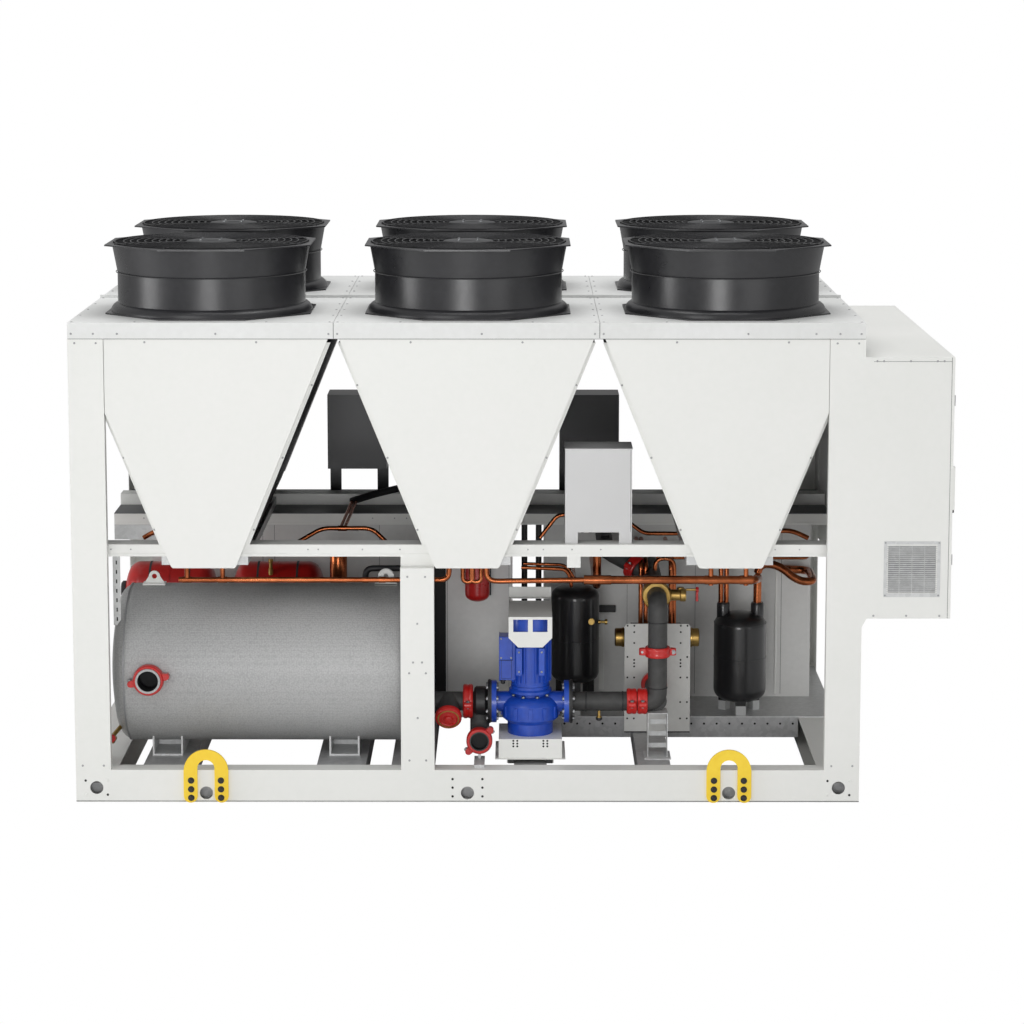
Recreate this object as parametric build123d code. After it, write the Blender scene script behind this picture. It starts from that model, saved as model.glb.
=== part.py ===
from build123d import *
import os
from math import cos, hypot, pi

# Air to water heat pump: a long sheet-steel frame with three V-shaped coil modules,
# six roof fans, a water tank, a circulation pump and an electrical cabinet on its end.
# X runs along the unit, Y from its front to its back, Z is up. Sizes are in millimetres.
# Places along the unit are distances from the frame's left end, and places across it
# are distances from its front.

# Overall sizes
module_count = 3
module_pitch = 1190
unit_depth = 2200
roof_height = 2200
cabinet_reach = 400
sheet = 3
seat_gap = 0.3

# Base frame
rail_height = 150
rail_flange = 95
end_rail_flange = 187
rail_wall = 4
lifting_hole_radius = 30
lug_hole_height = 43
corner_hole_height = 67
corner_hole_inset = 94
lug_hole_inset = 594
beam_height = 100
beam_places = [410, 1205, 1530, 2072, 2640]
beam_widths = [225, 225, 190, 150, 150]
middle_beam_depth = 1046
middle_beam_width = 80
middle_beam_stops = [2072, 2640]
shelf_wall = 6
shelf_left = 1450
shelf_depth = 1000

# Posts and roof
post_width = 160
post_depth = 190
post_wall = 3
post_return = 50
centre_post_width = 152
centre_post_left = 1483
fascia_height = 73
roof_wall = 3
seam_gap = 2
ridge_height = 13
ridge_width = 16

# Deck that carries the coils
deck_rail_setback = 60
deck_rail_width = 110
deck_rail_bottom = 1128
deck_rail_height = 55
deck_rail_lip = 12
deck_rail_step = 3
deck_wall = 3
lid_depth = 1419
lid_wall = 3
lid_rail_depth = 1670
brace_width = 70
brace_depths = [700, 1200]

# Coil modules
v_panel_wall = 2
v_panel_fold = 53
v_panel_setback = 2
v_bottom = 1085
v_top_half_width = 570
v_bottom_half_width = 147
v_corner_cut = 8
end_plate_wall = 3
end_plate_border = 4
coil_margin = 14
coil_thickness = 62
coil_top_gap = 22
tray_half_width = 196
tray_wall = 3

# Fans
fan_duct_radius = 433
fan_duct_wall = 5
fan_mouth_radius = 466
fan_mouth_height = 42
fan_cylinder_top = 182
fan_lip_radius = 458
fan_height = 318
fan_flange_half = 470
fan_flange_wall = 6
fan_spoke_land = 8
guard_ring_radii = [140, 200, 260, 320, 380, 435]
guard_wire = 5
guard_spokes = 8
guard_hub_radius = 92
guard_hub_wall = 8
motor_radius = 72
motor_height = 70
shaft_radius = 20
shaft_length = 70
running_clearance = 0.1
tip_clearance = 8
hub_radius = 100
hub_height = 96
hub_gap = 10
blade_count = 5
blade_root_chord = 170
blade_tip_chord = 250
blade_root_pitch = 38
blade_tip_pitch = 20
blade_root_sink = 20

# Electrical cabinet
cabinet_bottom = 855
cabinet_height = 1190
door_wall = 14
door_gap = 3
door_handle_reach = 10
door_handle_height = 195
door_handle_width = 36
vent_size = 255
vent_proud = 2
vent_frame = 20
vent_louvres = 12
vent_louvre_share = 0.4
vent_right_gap = 50
vent_bottom_gap = 100
gusset_reach = 22
gusset_height = 40

# Speed controller boxes that stand on the deck rails
box_width = 303
box_depth = 206
box_height = 383
box_bottom = 1234
box_setback = 90
box_leg = 58
box_wall = 3

# Water tank
tank_radius = 366
tank_length = 1440
tank_dome = 84
tank_left_gap = 126
tank_front_gap = 84
tank_height = 556
saddle_places = [390, 1210]
saddle_width = 140
saddle_plate = 8
saddle_half_span = 190
saddle_rise = 93
stub_place = 331
stub_setback = 24
stub_outer_radius = 57
stub_bore_radius = 47.5
stub_bore_depth = 100
eye_places = [318, 1399]
eye_width = 104
eye_height = 64
eye_top_radius = 26
eye_hole_radius = 12
eye_wall = 8
eye_foot = 60

# Dished ends of all the vessels
crown_share = 0.6
knuckle_share = 0.9

# Expansion vessels
vessel_radius = 140
vessel_length = 450
vessel_dome = 70
vessel_depth = 1200
vessel_height = 745
vessel_places = [310, 838]
hanging_vessel_place = 1819
hanging_vessel_depth = 900
hanging_vessel_radius = 60
hanging_vessel_length = 340
hanging_vessel_dome = 40
stand_left = 180
stand_length = 880
stand_width = 100
stand_height = 55
stand_leg = 80
stand_leg_places = [410, 1130]

# Pump
pump_place = 2072
pump_depth = 280
pump_height = 262
pipe_height = 405
pump_radius = 131
pump_skirt_radius = 105
pump_skirt_height = 52
pump_belt_low = 74
pump_belt_high = 140
pump_neck_radius = 76
pump_neck_height = 226
pump_shoulder_height = 176
pump_reach = 178
pump_neck = 48
pump_flange_wall = 22
pump_flange_radius = 98
motor_body_radius = 88
motor_fin_reach = 98
motor_fin_wall = 4
motor_fin_count = 24
motor_length = 333
motor_fin_length = 200
motor_fin_start = 20
motor_cowl_radius = 97
motor_cowl_length = 95
terminal_width = 52
terminal_depth = 110
terminal_height = 200
terminal_start = 30
stool_width = 291
stool_depth = 300
stool_front = 130
stool_foot_height = 20
stool_foot_width = 34
stool_foot_inset = 55
stool_lip = 16
hood_width = 200
hood_front = 176
hood_depth = 470
hood_drop = 142
hood_rise = 47
hood_chamfer = 44
hood_window_width = 68
hood_window_height = 58
hood_window_top = 12
hood_slot_depth = 60
hood_slot_gap = 35
hood_slot_border = 8

# Pipes on the water side
pipe_outer_radius = 44.5
pipe_inner_radius = 40
pipe_bend = 70
riser_bend = 46
flange_ring_wall = 18
inlet_place = 1838
inlet_height = 255
inlet_mouth = 110
inlet_bore_depth = 40
strainer_place = 1695
strainer_radius = 50
strainer_cap_radius = 61
strainer_cap_wall = 24
strainer_reach = 95
strainer_drop = 45
riser_place = 2661
riser_top = 871
riser_foot_width = 92
riser_foot_depth = 110
upper_pipe_start = 2480
coupling_radius = 60
coupling_width = 46
coupling_ear = 26
coupling_ear_height = 30
coupling_ear_share = 0.7
run_couplings = [1769, 2542, 2591]
riser_coupling_height = 640
inlet_coupling_setback = 22
tank_coupling_radius = 70
tank_coupling_width = 50
tank_coupling_ear = 28
tank_coupling_setback = 32
inlet_foot_width = 48
inlet_foot_wall = 12

# Plate heat exchanger
exchanger_left = 2523
exchanger_width = 313
exchanger_depth = 700
exchanger_top = 681
exchanger_plate = 4
exchanger_corner = 18
pack_margin = 36
pack_depth = 220
pack_top = 640
header_radius = 42
header_height = 603
header_reach = 44
header_setback = 60

# Refrigerant vessels
receiver_place = 2295
receiver_radius = 118
receiver_bottom = 296
receiver_top = 789
receiver_dome = 55
accumulator_place = 3104
accumulator_radius = 128
accumulator_bottom = 203
accumulator_top = 656
accumulator_dome = 60
vessel_row_depth = 1120
foot_angles = [30, 150, 270]
foot_inner_share = 0.5
foot_outer_share = 0.8
foot_width = 50

# Compressor housings behind the tank and the pump
housing_top = 1030
housing_back_gap = 60
left_housing = [190, 1640]
centre_housing = [1657, 1986]
centre_housing_depth = 1004
right_housing = [2147, 3476]

# Copper and insulated pipes
header_depth = 150
header_height_above = 1003
header_radius_left = 12
header_radius_right = 15
header_bend = 40
left_header = [500, 1700]
right_header = [1870, 3080]
suction_radius = 19
suction_bend = 60
suction_height = 900
suction_places = [3052, 3156]
loop_place = 3320
loop_height = 1010
insulated_radius = 15
insulated_places = [2047, 2118]
insulated_low = 860
exchanger_tubes = [2570, 2760]
exchanger_tube_radius = 13
exchanger_tube_height = 960

# Lifting lugs
lug_width = 204
lug_arm = 63
lug_height = 247
lug_slot_top = 199
lug_wall = 12

left = -(module_count * module_pitch + cabinet_reach + door_handle_reach) / 2
frame_right = left + module_count * module_pitch
front = -unit_depth / 2
back = unit_depth / 2
post_top = roof_height - fascia_height
shelf_top = rail_height + shelf_wall
deck_rail_top = deck_rail_bottom + deck_rail_height
deck_front = front + deck_rail_setback
deck_inner = deck_front + deck_rail_width
lid_top = v_bottom + lid_wall
lid_rail_top = lid_top + deck_rail_height
module_centres = [left + module_pitch * (n + 0.5) for n in range(module_count)]
lift_hole_x = [left + lug_hole_inset, frame_right - lug_hole_inset]
tank_x = left + tank_left_gap + tank_length / 2
tank_y = front + tank_front_gap + tank_radius
stub_x = left + stub_place
pump_x = left + pump_place
pump_y = front + pump_depth
riser_x = left + riser_place
inlet_x = left + inlet_place
exchanger_front = front + exchanger_depth


def block(x0, x1, y0, y1, z0, z1):
    """Box between two corners, given in any order."""
    low = [min(a, b) for a, b in ((x0, x1), (y0, y1), (z0, z1))]
    size = [abs(a - b) for a, b in ((x0, x1), (y0, y1), (z0, z1))]
    return Pos(*low) * Box(*size, align=(Align.MIN, Align.MIN, Align.MIN))


def pan(x0, x1, y0, y1, z0, z1, wall, sides="xyz"):
    """Folded sheet box whose open side is its lowest one, or without the walls not named."""
    solid = block(x0, x1, y0, y1, z0, z1)
    in_x = wall if "x" in sides else 0
    in_y = wall if "y" in sides else 0
    in_z = wall if "z" in sides else 0
    return solid - block(x0 + in_x, x1 - in_x, y0 + in_y, y1 - in_y, z0, z1 - in_z)


def rod_x(x0, x1, y, z, radius):
    """Round bar along X."""
    return Pos(x0, y, z) * Rot(0, 90, 0) * Cylinder(
        radius, x1 - x0, align=(Align.CENTER, Align.CENTER, Align.MIN))


def rod_y(x, y0, y1, z, radius):
    """Round bar along Y."""
    return Pos(x, y0, z) * Rot(-90, 0, 0) * Cylinder(
        radius, y1 - y0, align=(Align.CENTER, Align.CENTER, Align.MIN))


def rod_z(x, y, z0, z1, radius):
    """Round bar along Z."""
    return Pos(x, y, z0) * Cylinder(radius, z1 - z0, align=(Align.CENTER, Align.CENTER, Align.MIN))


def to_back(shape):
    """The same piece on the back of the unit."""
    return mirror(shape, about=Plane.XZ)


def bent_pipe(points, radius, bend):
    """Round pipe along straight runs joined by bends of one radius."""
    path = FilletPolyline(*points, radius=bend)
    return sweep(Plane(origin=path @ 0, z_dir=path % 0) * Circle(radius), path=path)


def domed_body(length, radius, dome):
    """Round pressure vessel along X, with a shallow crown and a round knuckle at each end."""
    half = length / 2
    sag = dome * crown_share
    crown = (radius ** 2 + sag ** 2) / (2 * sag)
    bulge = half - crown + (crown ** 2 - radius ** 2 / 4) ** 0.5
    outline = [Line((-half, 0), (half, 0)),
               ThreePointArc((half, 0), (bulge, radius / 2), (half - sag, radius)),
               Line((half - sag, radius), (sag - half, radius)),
               ThreePointArc((sag - half, radius), (-bulge, radius / 2), (-half, 0))]
    face = make_face(Wire(outline))
    face = fillet(face.vertices().group_by(Axis.Y)[-1], dome * knuckle_share)
    return revolve(face, Axis.X)


def save(name, *solids):
    """Writes one node, of one solid or of several that don't touch."""
    shape = solids[0] if len(solids) == 1 else Compound(children=list(solids))
    export_step(shape, f"parts/{name}.step")


# Base frame

def long_rail():
    """Channel along the front, open towards the middle, with closed ends."""
    inner = front + rail_flange
    rail = block(left, frame_right, front, inner, 0, rail_height)
    rail -= block(left + rail_wall, frame_right - rail_wall, front + rail_wall, inner,
                  rail_wall, rail_height - rail_wall)
    holes = [(x, lug_hole_height) for x in lift_hole_x]
    holes += [((left + frame_right) / 2, lug_hole_height)]
    holes += [(x, corner_hole_height)
              for x in (left + corner_hole_inset, frame_right - corner_hole_inset)]
    for x, z in holes:
        rail -= rod_y(x, front - 1, front + rail_wall + 1, z, lifting_hole_radius)
    return rail


def end_rail(outer, inwards):
    """Channel across one end, between the two long rails."""
    y0, y1 = front + rail_flange, back - rail_flange
    inner = outer + inwards * end_rail_flange
    rail = block(outer, inner, y0, y1, 0, rail_height)
    return rail - block(outer + inwards * rail_wall, inner, y0, y1,
                        rail_wall, rail_height - rail_wall)


def cross_beam(place, width):
    """Channel from front to back, open below, level with the top of the rails."""
    x = left + place
    return pan(x - width / 2, x + width / 2, front + rail_flange, back - rail_flange,
               rail_height - beam_height, rail_height, rail_wall, "xz")


def middle_beam(x0, x1):
    """Channel along the middle of the unit, between two cross beams."""
    y = front + middle_beam_depth
    return pan(x0, x1, y - middle_beam_width / 2, y + middle_beam_width / 2,
               rail_height - beam_height, rail_height, rail_wall, "yz")


def middle_beams():
    """The two middle beams, from the pump's cross beam to the right end rail."""
    first, second = [left + x for x in middle_beam_stops]
    half = beam_widths[-1] / 2
    return [middle_beam(first + half, second - half),
            middle_beam(second + half, frame_right - end_rail_flange)]


def machine_shelf():
    """Plate on the beams that carries the refrigeration parts."""
    return block(left + shelf_left, frame_right - post_wall, front + shelf_depth,
                 back - rail_flange, rail_height, shelf_top)


# Posts

def corner_post(outer, inwards):
    """Folded post with a wide face, a side wall and a short return at its inner edge."""
    inner = outer + inwards * post_width
    face = block(outer, inner, front, front + post_wall, rail_height, post_top)
    side = block(outer, outer + inwards * post_wall, front, front + post_depth,
                 rail_height, post_top)
    fold = block(inner, inner - inwards * post_wall, front, front + post_return,
                 rail_height, post_top)
    return face + side + fold


def centre_post():
    """Short post between the tank bay and the pump bay."""
    x0 = left + centre_post_left
    x1 = x0 + centre_post_width
    post = block(x0, x1, front, deck_front, rail_height, v_bottom)
    return post - block(x0 + post_wall, x1 - post_wall, front + post_wall, deck_front,
                        rail_height, v_bottom - post_wall)


def front_centre_post():
    """Centre post with the bracket that joins it to the front deck rail."""
    x0 = left + centre_post_left
    bracket = block(x0, x0 + centre_post_width, deck_front, deck_front + post_wall,
                    v_bottom - post_wall, deck_rail_bottom)
    return centre_post() + bracket


# Roof and deck

def roof_panel(centre):
    """Folded pan with a round fan opening, for the front row."""
    x0 = centre - (module_pitch - seam_gap) / 2
    x1 = centre + (module_pitch - seam_gap) / 2
    cover = pan(x0, x1, front, -ridge_width / 2, post_top, roof_height, roof_wall)
    return cover - rod_z(centre, front / 2, post_top, roof_height + 1,
                         fan_mouth_radius - fan_duct_wall)


def ridge():
    """Strip that covers the seam between the two rows of roof panels."""
    half = (ridge_width - 1) / 2
    return block(left, frame_right, -half, half, post_top, roof_height + ridge_height)


def deck_rail(y, z, inwards):
    """Channel along the unit with a stepped lip at the foot of its face."""
    x0, x1 = left + post_wall, frame_right - post_wall
    inner = y + inwards * deck_rail_width
    rail = block(x0, x1, y, inner, z, z + deck_rail_height)
    rail -= block(x0, x1, y + inwards * (deck_wall + deck_rail_step), inner,
                  z + deck_wall, z + deck_rail_height - deck_wall)
    return rail - block(x0, x1, y, y + inwards * deck_rail_step, z + deck_rail_lip,
                        z + deck_rail_height - deck_wall)


def deck_rails():
    """The front and back deck rails and the two rails of the compressor lid."""
    return [deck_rail(deck_front, deck_rail_bottom, 1),
            deck_rail(front + lid_depth, v_bottom - deck_rail_height, 1),
            deck_rail(front + lid_rail_depth, lid_top, 1),
            deck_rail(-deck_front, v_bottom - deck_rail_height, -1)]


def compartment_lid():
    """Sheet that closes the compressor compartment at the height of the coils' feet."""
    return block(left + post_wall, frame_right - post_wall, front + lid_depth, -deck_front,
                 v_bottom, lid_top)


def drip_tray(centre):
    """Open tray under one V of coils, from the front deck rail to the rail on the lid."""
    x0, x1 = centre - tray_half_width, centre + tray_half_width
    y0, y1 = deck_front + deck_rail_step + deck_wall, front + lid_rail_depth
    tray = block(x0, x1, y0, y1, lid_top, deck_rail_bottom)
    return tray - block(x0 + tray_wall, x1 - tray_wall, y0 + tray_wall, y1 - tray_wall,
                        lid_top + tray_wall, deck_rail_bottom)


# Coil modules

def v_half_width(z, margin=0):
    """Half width of the V at a height, measured to the panel's edge plus a margin."""
    rise = (z - v_bottom) / (post_top - v_bottom)
    return v_bottom_half_width + (v_top_half_width - v_bottom_half_width) * rise + margin


def front_plane(y):
    """Plane that looks at the front, so that a sketch's axes are X and Z."""
    return Plane(origin=(0, y, 0), x_dir=(1, 0, 0), z_dir=(0, -1, 0))


def v_outline(centre, inset):
    """Outline of a V panel seen from the front, cut off where a corner post covers it."""
    top = post_top - inset
    bottom = v_bottom + inset
    cut = v_corner_cut
    low = v_half_width(bottom) - inset
    points = [(-v_half_width(top) + inset, top), (v_half_width(top) - inset, top),
              (low, bottom + cut), (low - cut, bottom), (-low + cut, bottom), (-low, bottom + cut)]
    face = make_face(Polyline(*[(centre + x, z) for x, z in points], close=True))
    x_low = left + post_width + seam_gap + inset
    x_high = frame_right - post_width - seam_gap - inset
    bounds = Pos((x_low + x_high) / 2, roof_height / 2) * Rectangle(x_high - x_low, roof_height)
    return face & bounds


def v_panel(centre):
    """Folded trapezoid that closes the front of one V."""
    y = front + v_panel_setback
    shell = extrude(front_plane(y) * v_outline(centre, 0), amount=-v_panel_fold)
    hollow = extrude(front_plane(y) * v_outline(centre, v_panel_wall), amount=-v_panel_fold)
    return shell - Pos(0, v_panel_wall, 0) * hollow


def slab_outline(centre, side, z0, z1, outer, inner):
    """Outline of a slanted slab between two margins outside and inside the V's edge."""
    points = [(v_half_width(z0, outer), z0), (v_half_width(z1, outer), z1),
              (v_half_width(z1, inner), z1), (v_half_width(z0, inner), z0)]
    return make_face(Polyline(*[(centre + side * x, z) for x, z in points], close=True))


def slab_across():
    """Level width of a coil, from its thickness and its slant."""
    run = v_top_half_width - v_bottom_half_width
    rise = post_top - v_bottom
    return coil_thickness * hypot(run, rise) / rise


def coil_end_plate(centre, side):
    """Slanted plate on the front end of a coil, which shows beside the V panel."""
    y = front + v_panel_setback + v_panel_fold
    outline = slab_outline(centre, side, deck_rail_top, post_top - coil_top_gap,
                           coil_margin + end_plate_border, coil_margin - slab_across())
    return extrude(front_plane(y) * outline, amount=-end_plate_wall)


def coil(centre, side):
    """Slanted slab of fins that stands in the drip tray and on the deck rails."""
    z0 = lid_top + tray_wall
    end = v_panel_setback + v_panel_fold + end_plate_wall
    outline = slab_outline(centre, side, z0, post_top - coil_top_gap,
                           coil_margin, coil_margin - slab_across())
    slab = extrude(front_plane(front + end) * outline, amount=2 * end - unit_depth)
    wide = module_pitch
    slab -= block(centre - wide, centre + wide, front, deck_inner + tray_wall, 0, deck_rail_top)
    return slab - block(centre - wide, centre + wide, front + lid_rail_depth - 2 * tray_wall,
                        back, 0, lid_rail_top)


# Fans

def octagon_plate(z, wall, hole):
    """Eight-sided flange with a round hole."""
    outline = Rot(0, 0, 180 / 8) * RegularPolygon(fan_flange_half / cos(pi / 8), 8)
    return Pos(0, 0, z) * extrude(outline - Circle(hole), amount=wall)


def fan_shroud():
    """Round duct with a belled foot, a straight barrel and a flared lip, as one moulding."""
    wall = fan_duct_wall
    barrel, mouth, lip = fan_duct_radius, fan_mouth_radius, fan_lip_radius
    low, high = fan_mouth_height, fan_cylinder_top
    bell = ((mouth - barrel) ** 2 + low ** 2) / (2 * (mouth - barrel))
    outline = [Line((barrel, low), (barrel, high)),
               Line((barrel, high), (lip, fan_height)),
               Line((lip, fan_height), (lip - wall, fan_height)),
               Line((lip - wall, fan_height), (barrel - wall, high)),
               Line((barrel - wall, high), (barrel - wall, low)),
               RadiusArc((barrel - wall, low), (mouth - wall, 0), bell),
               Line((mouth - wall, 0), (mouth, 0)),
               RadiusArc((mouth, 0), (barrel, low), -bell)]
    duct = revolve(Plane.XZ * make_face(Wire(outline)), Axis.Z)
    foot = octagon_plate(0, fan_flange_wall, mouth - wall / 2)
    top = octagon_plate(fan_height - fan_flange_wall, fan_flange_wall, lip - wall / 2)
    return duct + foot + top


def ring(radius, z, width, height):
    """Flat ring of square wire."""
    return Pos(0, 0, z) * (Cylinder(radius + width / 2, height) - Cylinder(radius - width / 2, height))


def fan_guard():
    """Flat round guard of rings and spokes with a plate in its middle."""
    guard = rod_z(0, 0, fan_height, fan_height + guard_hub_wall, guard_hub_radius)
    guard += [ring(r, fan_height + guard_wire / 2, guard_wire, guard_wire)
              for r in guard_ring_radii]
    spoke = block(0, fan_lip_radius + fan_spoke_land, -guard_wire / 2, guard_wire / 2,
                  fan_height, fan_height + guard_wire)
    return guard + [Rot(0, 0, 360 / guard_spokes * (n + 0.5)) * spoke
                    for n in range(guard_spokes)]


def fan_motor():
    """Motor that hangs from the guard's middle plate, with its shaft."""
    low = fan_height - motor_height
    return rod_z(0, 0, low, fan_height, motor_radius) + rod_z(0, 0, low - shaft_length, low,
                                                               shaft_radius)


def blade():
    """One twisted blade, lofted from cambered sections and trimmed to the tip circle."""
    tip = fan_duct_radius - fan_duct_wall - tip_clearance
    root = hub_radius - blade_root_sink
    reach = tip + blade_root_sink
    sections = []
    for share in (0, 0.5, 1):
        radius = root + (reach - root) * share
        chord = blade_root_chord + (blade_tip_chord - blade_root_chord) * share
        pitch = blade_root_pitch + (blade_tip_pitch - blade_root_pitch) * share
        half = chord / 2
        upper = RadiusArc((-half, 0), (half, 0), -chord)
        lower = RadiusArc((half, 0), (-half, 0), 1.25 * chord)
        plane = Plane(origin=(radius, 0, 0), x_dir=(0, 1, 0), z_dir=(1, 0, 0))
        sections.append(plane.rotated((pitch, 0, 0)) * make_face(Wire([upper, lower])))
    return loft(sections) & Cylinder(tip, fan_height)


def fan_impeller():
    """Hub with its twisted blades, hung on the motor shaft with a running clearance."""
    top = fan_height - motor_height - hub_gap
    hub = rod_z(0, 0, top - hub_height, top, hub_radius)
    blades = [Pos(0, 0, top - hub_height / 2) * Rot(0, 0, 360 / blade_count * n) * blade()
              for n in range(blade_count)]
    bore_bottom = fan_height - motor_height - shaft_length - hub_gap
    bore = rod_z(0, 0, bore_bottom, top, shaft_radius + running_clearance)
    return hub + blades - bore


def at_fans(shape):
    """The same piece on each of the six fan places, front row first."""
    return [Pos(x, y, roof_height) * shape
            for y in (front / 2, back / 2) for x in module_centres]


# Electrical cabinet

cabinet_x0 = frame_right
cabinet_x1 = frame_right + cabinet_reach - door_wall
cabinet_top = cabinet_bottom + cabinet_height
vent_x1 = frame_right + cabinet_reach - vent_right_gap
vent_z0 = cabinet_bottom + vent_bottom_gap


def cabinet():
    """Open sheet box on the end of the frame, with a square opening for its vent."""
    box = block(cabinet_x0, cabinet_x1, front, back, cabinet_bottom, cabinet_top)
    box -= block(cabinet_x0 + sheet, cabinet_x1, front + sheet, back - sheet,
                 cabinet_bottom + sheet, cabinet_top - sheet)
    border = vent_frame
    box -= block(vent_x1 - vent_size + border, vent_x1 - border, front - 1, front + sheet + 1,
                 vent_z0 + border, vent_z0 + vent_size - border)
    return box + gusset(front) + gusset(back - sheet)


def gusset(y):
    """Small triangular plate under the cabinet against the corner post."""
    outline = Polyline((cabinet_x0, cabinet_bottom), (cabinet_x0 + gusset_reach, cabinet_bottom),
                       (cabinet_x0, cabinet_bottom - gusset_height), close=True)
    return extrude(front_plane(y) * make_face(outline), amount=-sheet)


def cabinet_vent():
    """Louvred plate over the opening in the cabinet's front."""
    x0, z0 = vent_x1 - vent_size, vent_z0
    plate = block(x0, vent_x1, front - vent_proud, front, z0, z0 + vent_size)
    opening = vent_size - 2 * vent_frame
    pitch = opening / vent_louvres
    slot = block(x0 + vent_frame, vent_x1 - vent_frame, front - vent_proud, front,
                 0, pitch * vent_louvre_share)
    low = z0 + vent_frame + pitch * (1 - vent_louvre_share) / 2
    return plate - [Pos(0, 0, low + pitch * n) * slot for n in range(vent_louvres)]


def cabinet_door():
    """Folded door that covers the whole end of the cabinet, with its long handle."""
    x0, x1 = cabinet_x1, frame_right + cabinet_reach
    door = block(x0, x1, front, back, cabinet_bottom, cabinet_top)
    door -= block(x0, x1 - sheet, front + sheet, back - sheet,
                  cabinet_bottom + sheet, cabinet_top - sheet)
    middle = (cabinet_bottom + cabinet_top) / 2
    return door + block(x1, x1 + door_handle_reach, front + door_gap,
                        front + door_gap + door_handle_width,
                        middle - door_handle_height / 2, middle + door_handle_height / 2)


def control_box(seam, rail_top):
    """Shallow sheet box on two broad legs that stand on a deck rail near the front."""
    x0, x1 = seam - box_width / 2, seam + box_width / 2
    y0 = front + box_setback
    box = block(x0, x1, y0, y0 + box_depth, box_bottom, box_bottom + box_height)
    legs = [block(x, x + box_leg, y0, y0 + box_wall, rail_top, box_bottom)
            for x in (x0, x1 - box_leg)]
    feet = [block(x, x + box_leg, y0, deck_inner, rail_top, rail_top + box_wall)
            for x in (x0, x1 - box_leg)]
    return box + legs + feet


def control_boxes():
    """One box in front and two at the back, where the deck rail is lower."""
    seams = [left + module_pitch, left + 2 * module_pitch]
    return [control_box(seams[1], deck_rail_top)] + [to_back(control_box(x, lid_top))
                                                     for x in seams]


# Water tank

def tank():
    """Lying tank with dished ends and a pipe stub that faces the front."""
    body = Pos(tank_x, tank_y, tank_height) * domed_body(tank_length, tank_radius, tank_dome)
    mouth = front + stub_setback
    body += rod_y(stub_x, mouth, tank_y - tank_radius / 2, tank_height, stub_outer_radius)
    return body - rod_y(stub_x, mouth - 1, mouth + stub_bore_depth, tank_height, stub_bore_radius)


def tank_saddle(place):
    """Cradle of two side plates and a middle web on a base plate, cut to the tank."""
    x0, x1 = left + place - saddle_width / 2, left + place + saddle_width / 2
    y0, y1 = tank_y - saddle_half_span, tank_y + saddle_half_span
    top = rail_height + saddle_rise
    cradle = block(x0, x1, y0, y1, rail_height, rail_height + saddle_plate)
    cradle += block(x0, x0 + saddle_plate, y0, y1, rail_height, top)
    cradle += block(x1 - saddle_plate, x1, y0, y1, rail_height, top)
    cradle += block(x0, x1, tank_y - saddle_plate / 2, tank_y + saddle_plate / 2, rail_height, top)
    return cradle - rod_x(x0 - 1, x1 + 1, tank_y, tank_height, tank_radius + seat_gap)


def tank_eye(place):
    """Lifting eye on top of the tank, with its foot plate."""
    z0 = tank_height + tank_radius + seat_gap
    centre = (left + place, z0 + eye_height - eye_top_radius)
    half = eye_width / 2
    foot = [(centre[0] - half, z0), (centre[0] + half, z0),
            (centre[0] + eye_top_radius, centre[1]), (centre[0] - eye_top_radius, centre[1])]
    face = make_face(Polyline(*foot, close=True)) + Pos(*centre) * Circle(eye_top_radius)
    face -= Pos(*centre) * Circle(eye_hole_radius)
    eye = extrude(front_plane(tank_y - eye_wall / 2) * face, amount=-eye_wall)
    return eye + block(centre[0] - half, centre[0] + half, tank_y - eye_foot / 2,
                       tank_y + eye_foot / 2, z0, z0 + eye_wall)


def expansion_vessel(place):
    """Small lying pressure vessel with domed ends."""
    return Pos(left + place, front + vessel_depth, vessel_height) * domed_body(
        vessel_length, vessel_radius, vessel_dome)


def hanging_vessel():
    """Slim upright vessel that hangs under the middle drip tray."""
    z = lid_top - hanging_vessel_length / 2
    return Pos(left + hanging_vessel_place, front + hanging_vessel_depth, z) * Rot(0, 90, 0) * (
        domed_body(hanging_vessel_length, hanging_vessel_radius, hanging_vessel_dome))


stand_top = vessel_height - vessel_radius - seat_gap


def vessel_stand():
    """Channel that carries the lying expansion vessels."""
    y = front + vessel_depth
    return pan(left + stand_left, left + stand_left + stand_length, y - stand_width / 2,
               y + stand_width / 2, stand_top - stand_height, stand_top, sheet, "yz")


def stand_leg_post(place):
    """Leg of the vessel stand, from a cross beam to the channel's web."""
    y = front + vessel_depth
    half = stand_leg / 2
    return block(left + place - half, left + place + half, y - half, y + half,
                 rail_height, stand_top - sheet)


# Pump

def pump_casing():
    """Round volute with a flanged connection on each side and a neck for the motor."""
    skirt, belt = pump_skirt_radius, pump_radius
    low, high, shoulder = pump_belt_low, pump_belt_high, pump_shoulder_height
    outline = [Line((0, 0), (skirt, 0)), Line((skirt, 0), (skirt, pump_skirt_height)),
               Line((skirt, pump_skirt_height), (belt, low)), Line((belt, low), (belt, high)),
               RadiusArc((belt, high), (pump_neck_radius, shoulder), -belt / 2),
               Line((pump_neck_radius, shoulder), (pump_neck_radius, pump_neck_height)),
               Line((pump_neck_radius, pump_neck_height), (0, pump_neck_height)),
               Line((0, pump_neck_height), (0, 0))]
    body = Pos(pump_x, pump_y, pump_height) * revolve(Plane.XZ * make_face(Wire(outline)), Axis.Z)
    body += rod_x(pump_x - pump_reach, pump_x + pump_reach, pump_y, pipe_height, pump_neck)
    for x in (pump_x - pump_reach, pump_x + pump_reach - pump_flange_wall):
        body += rod_x(x, x + pump_flange_wall, pump_y, pipe_height, pump_flange_radius)
    return body


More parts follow.
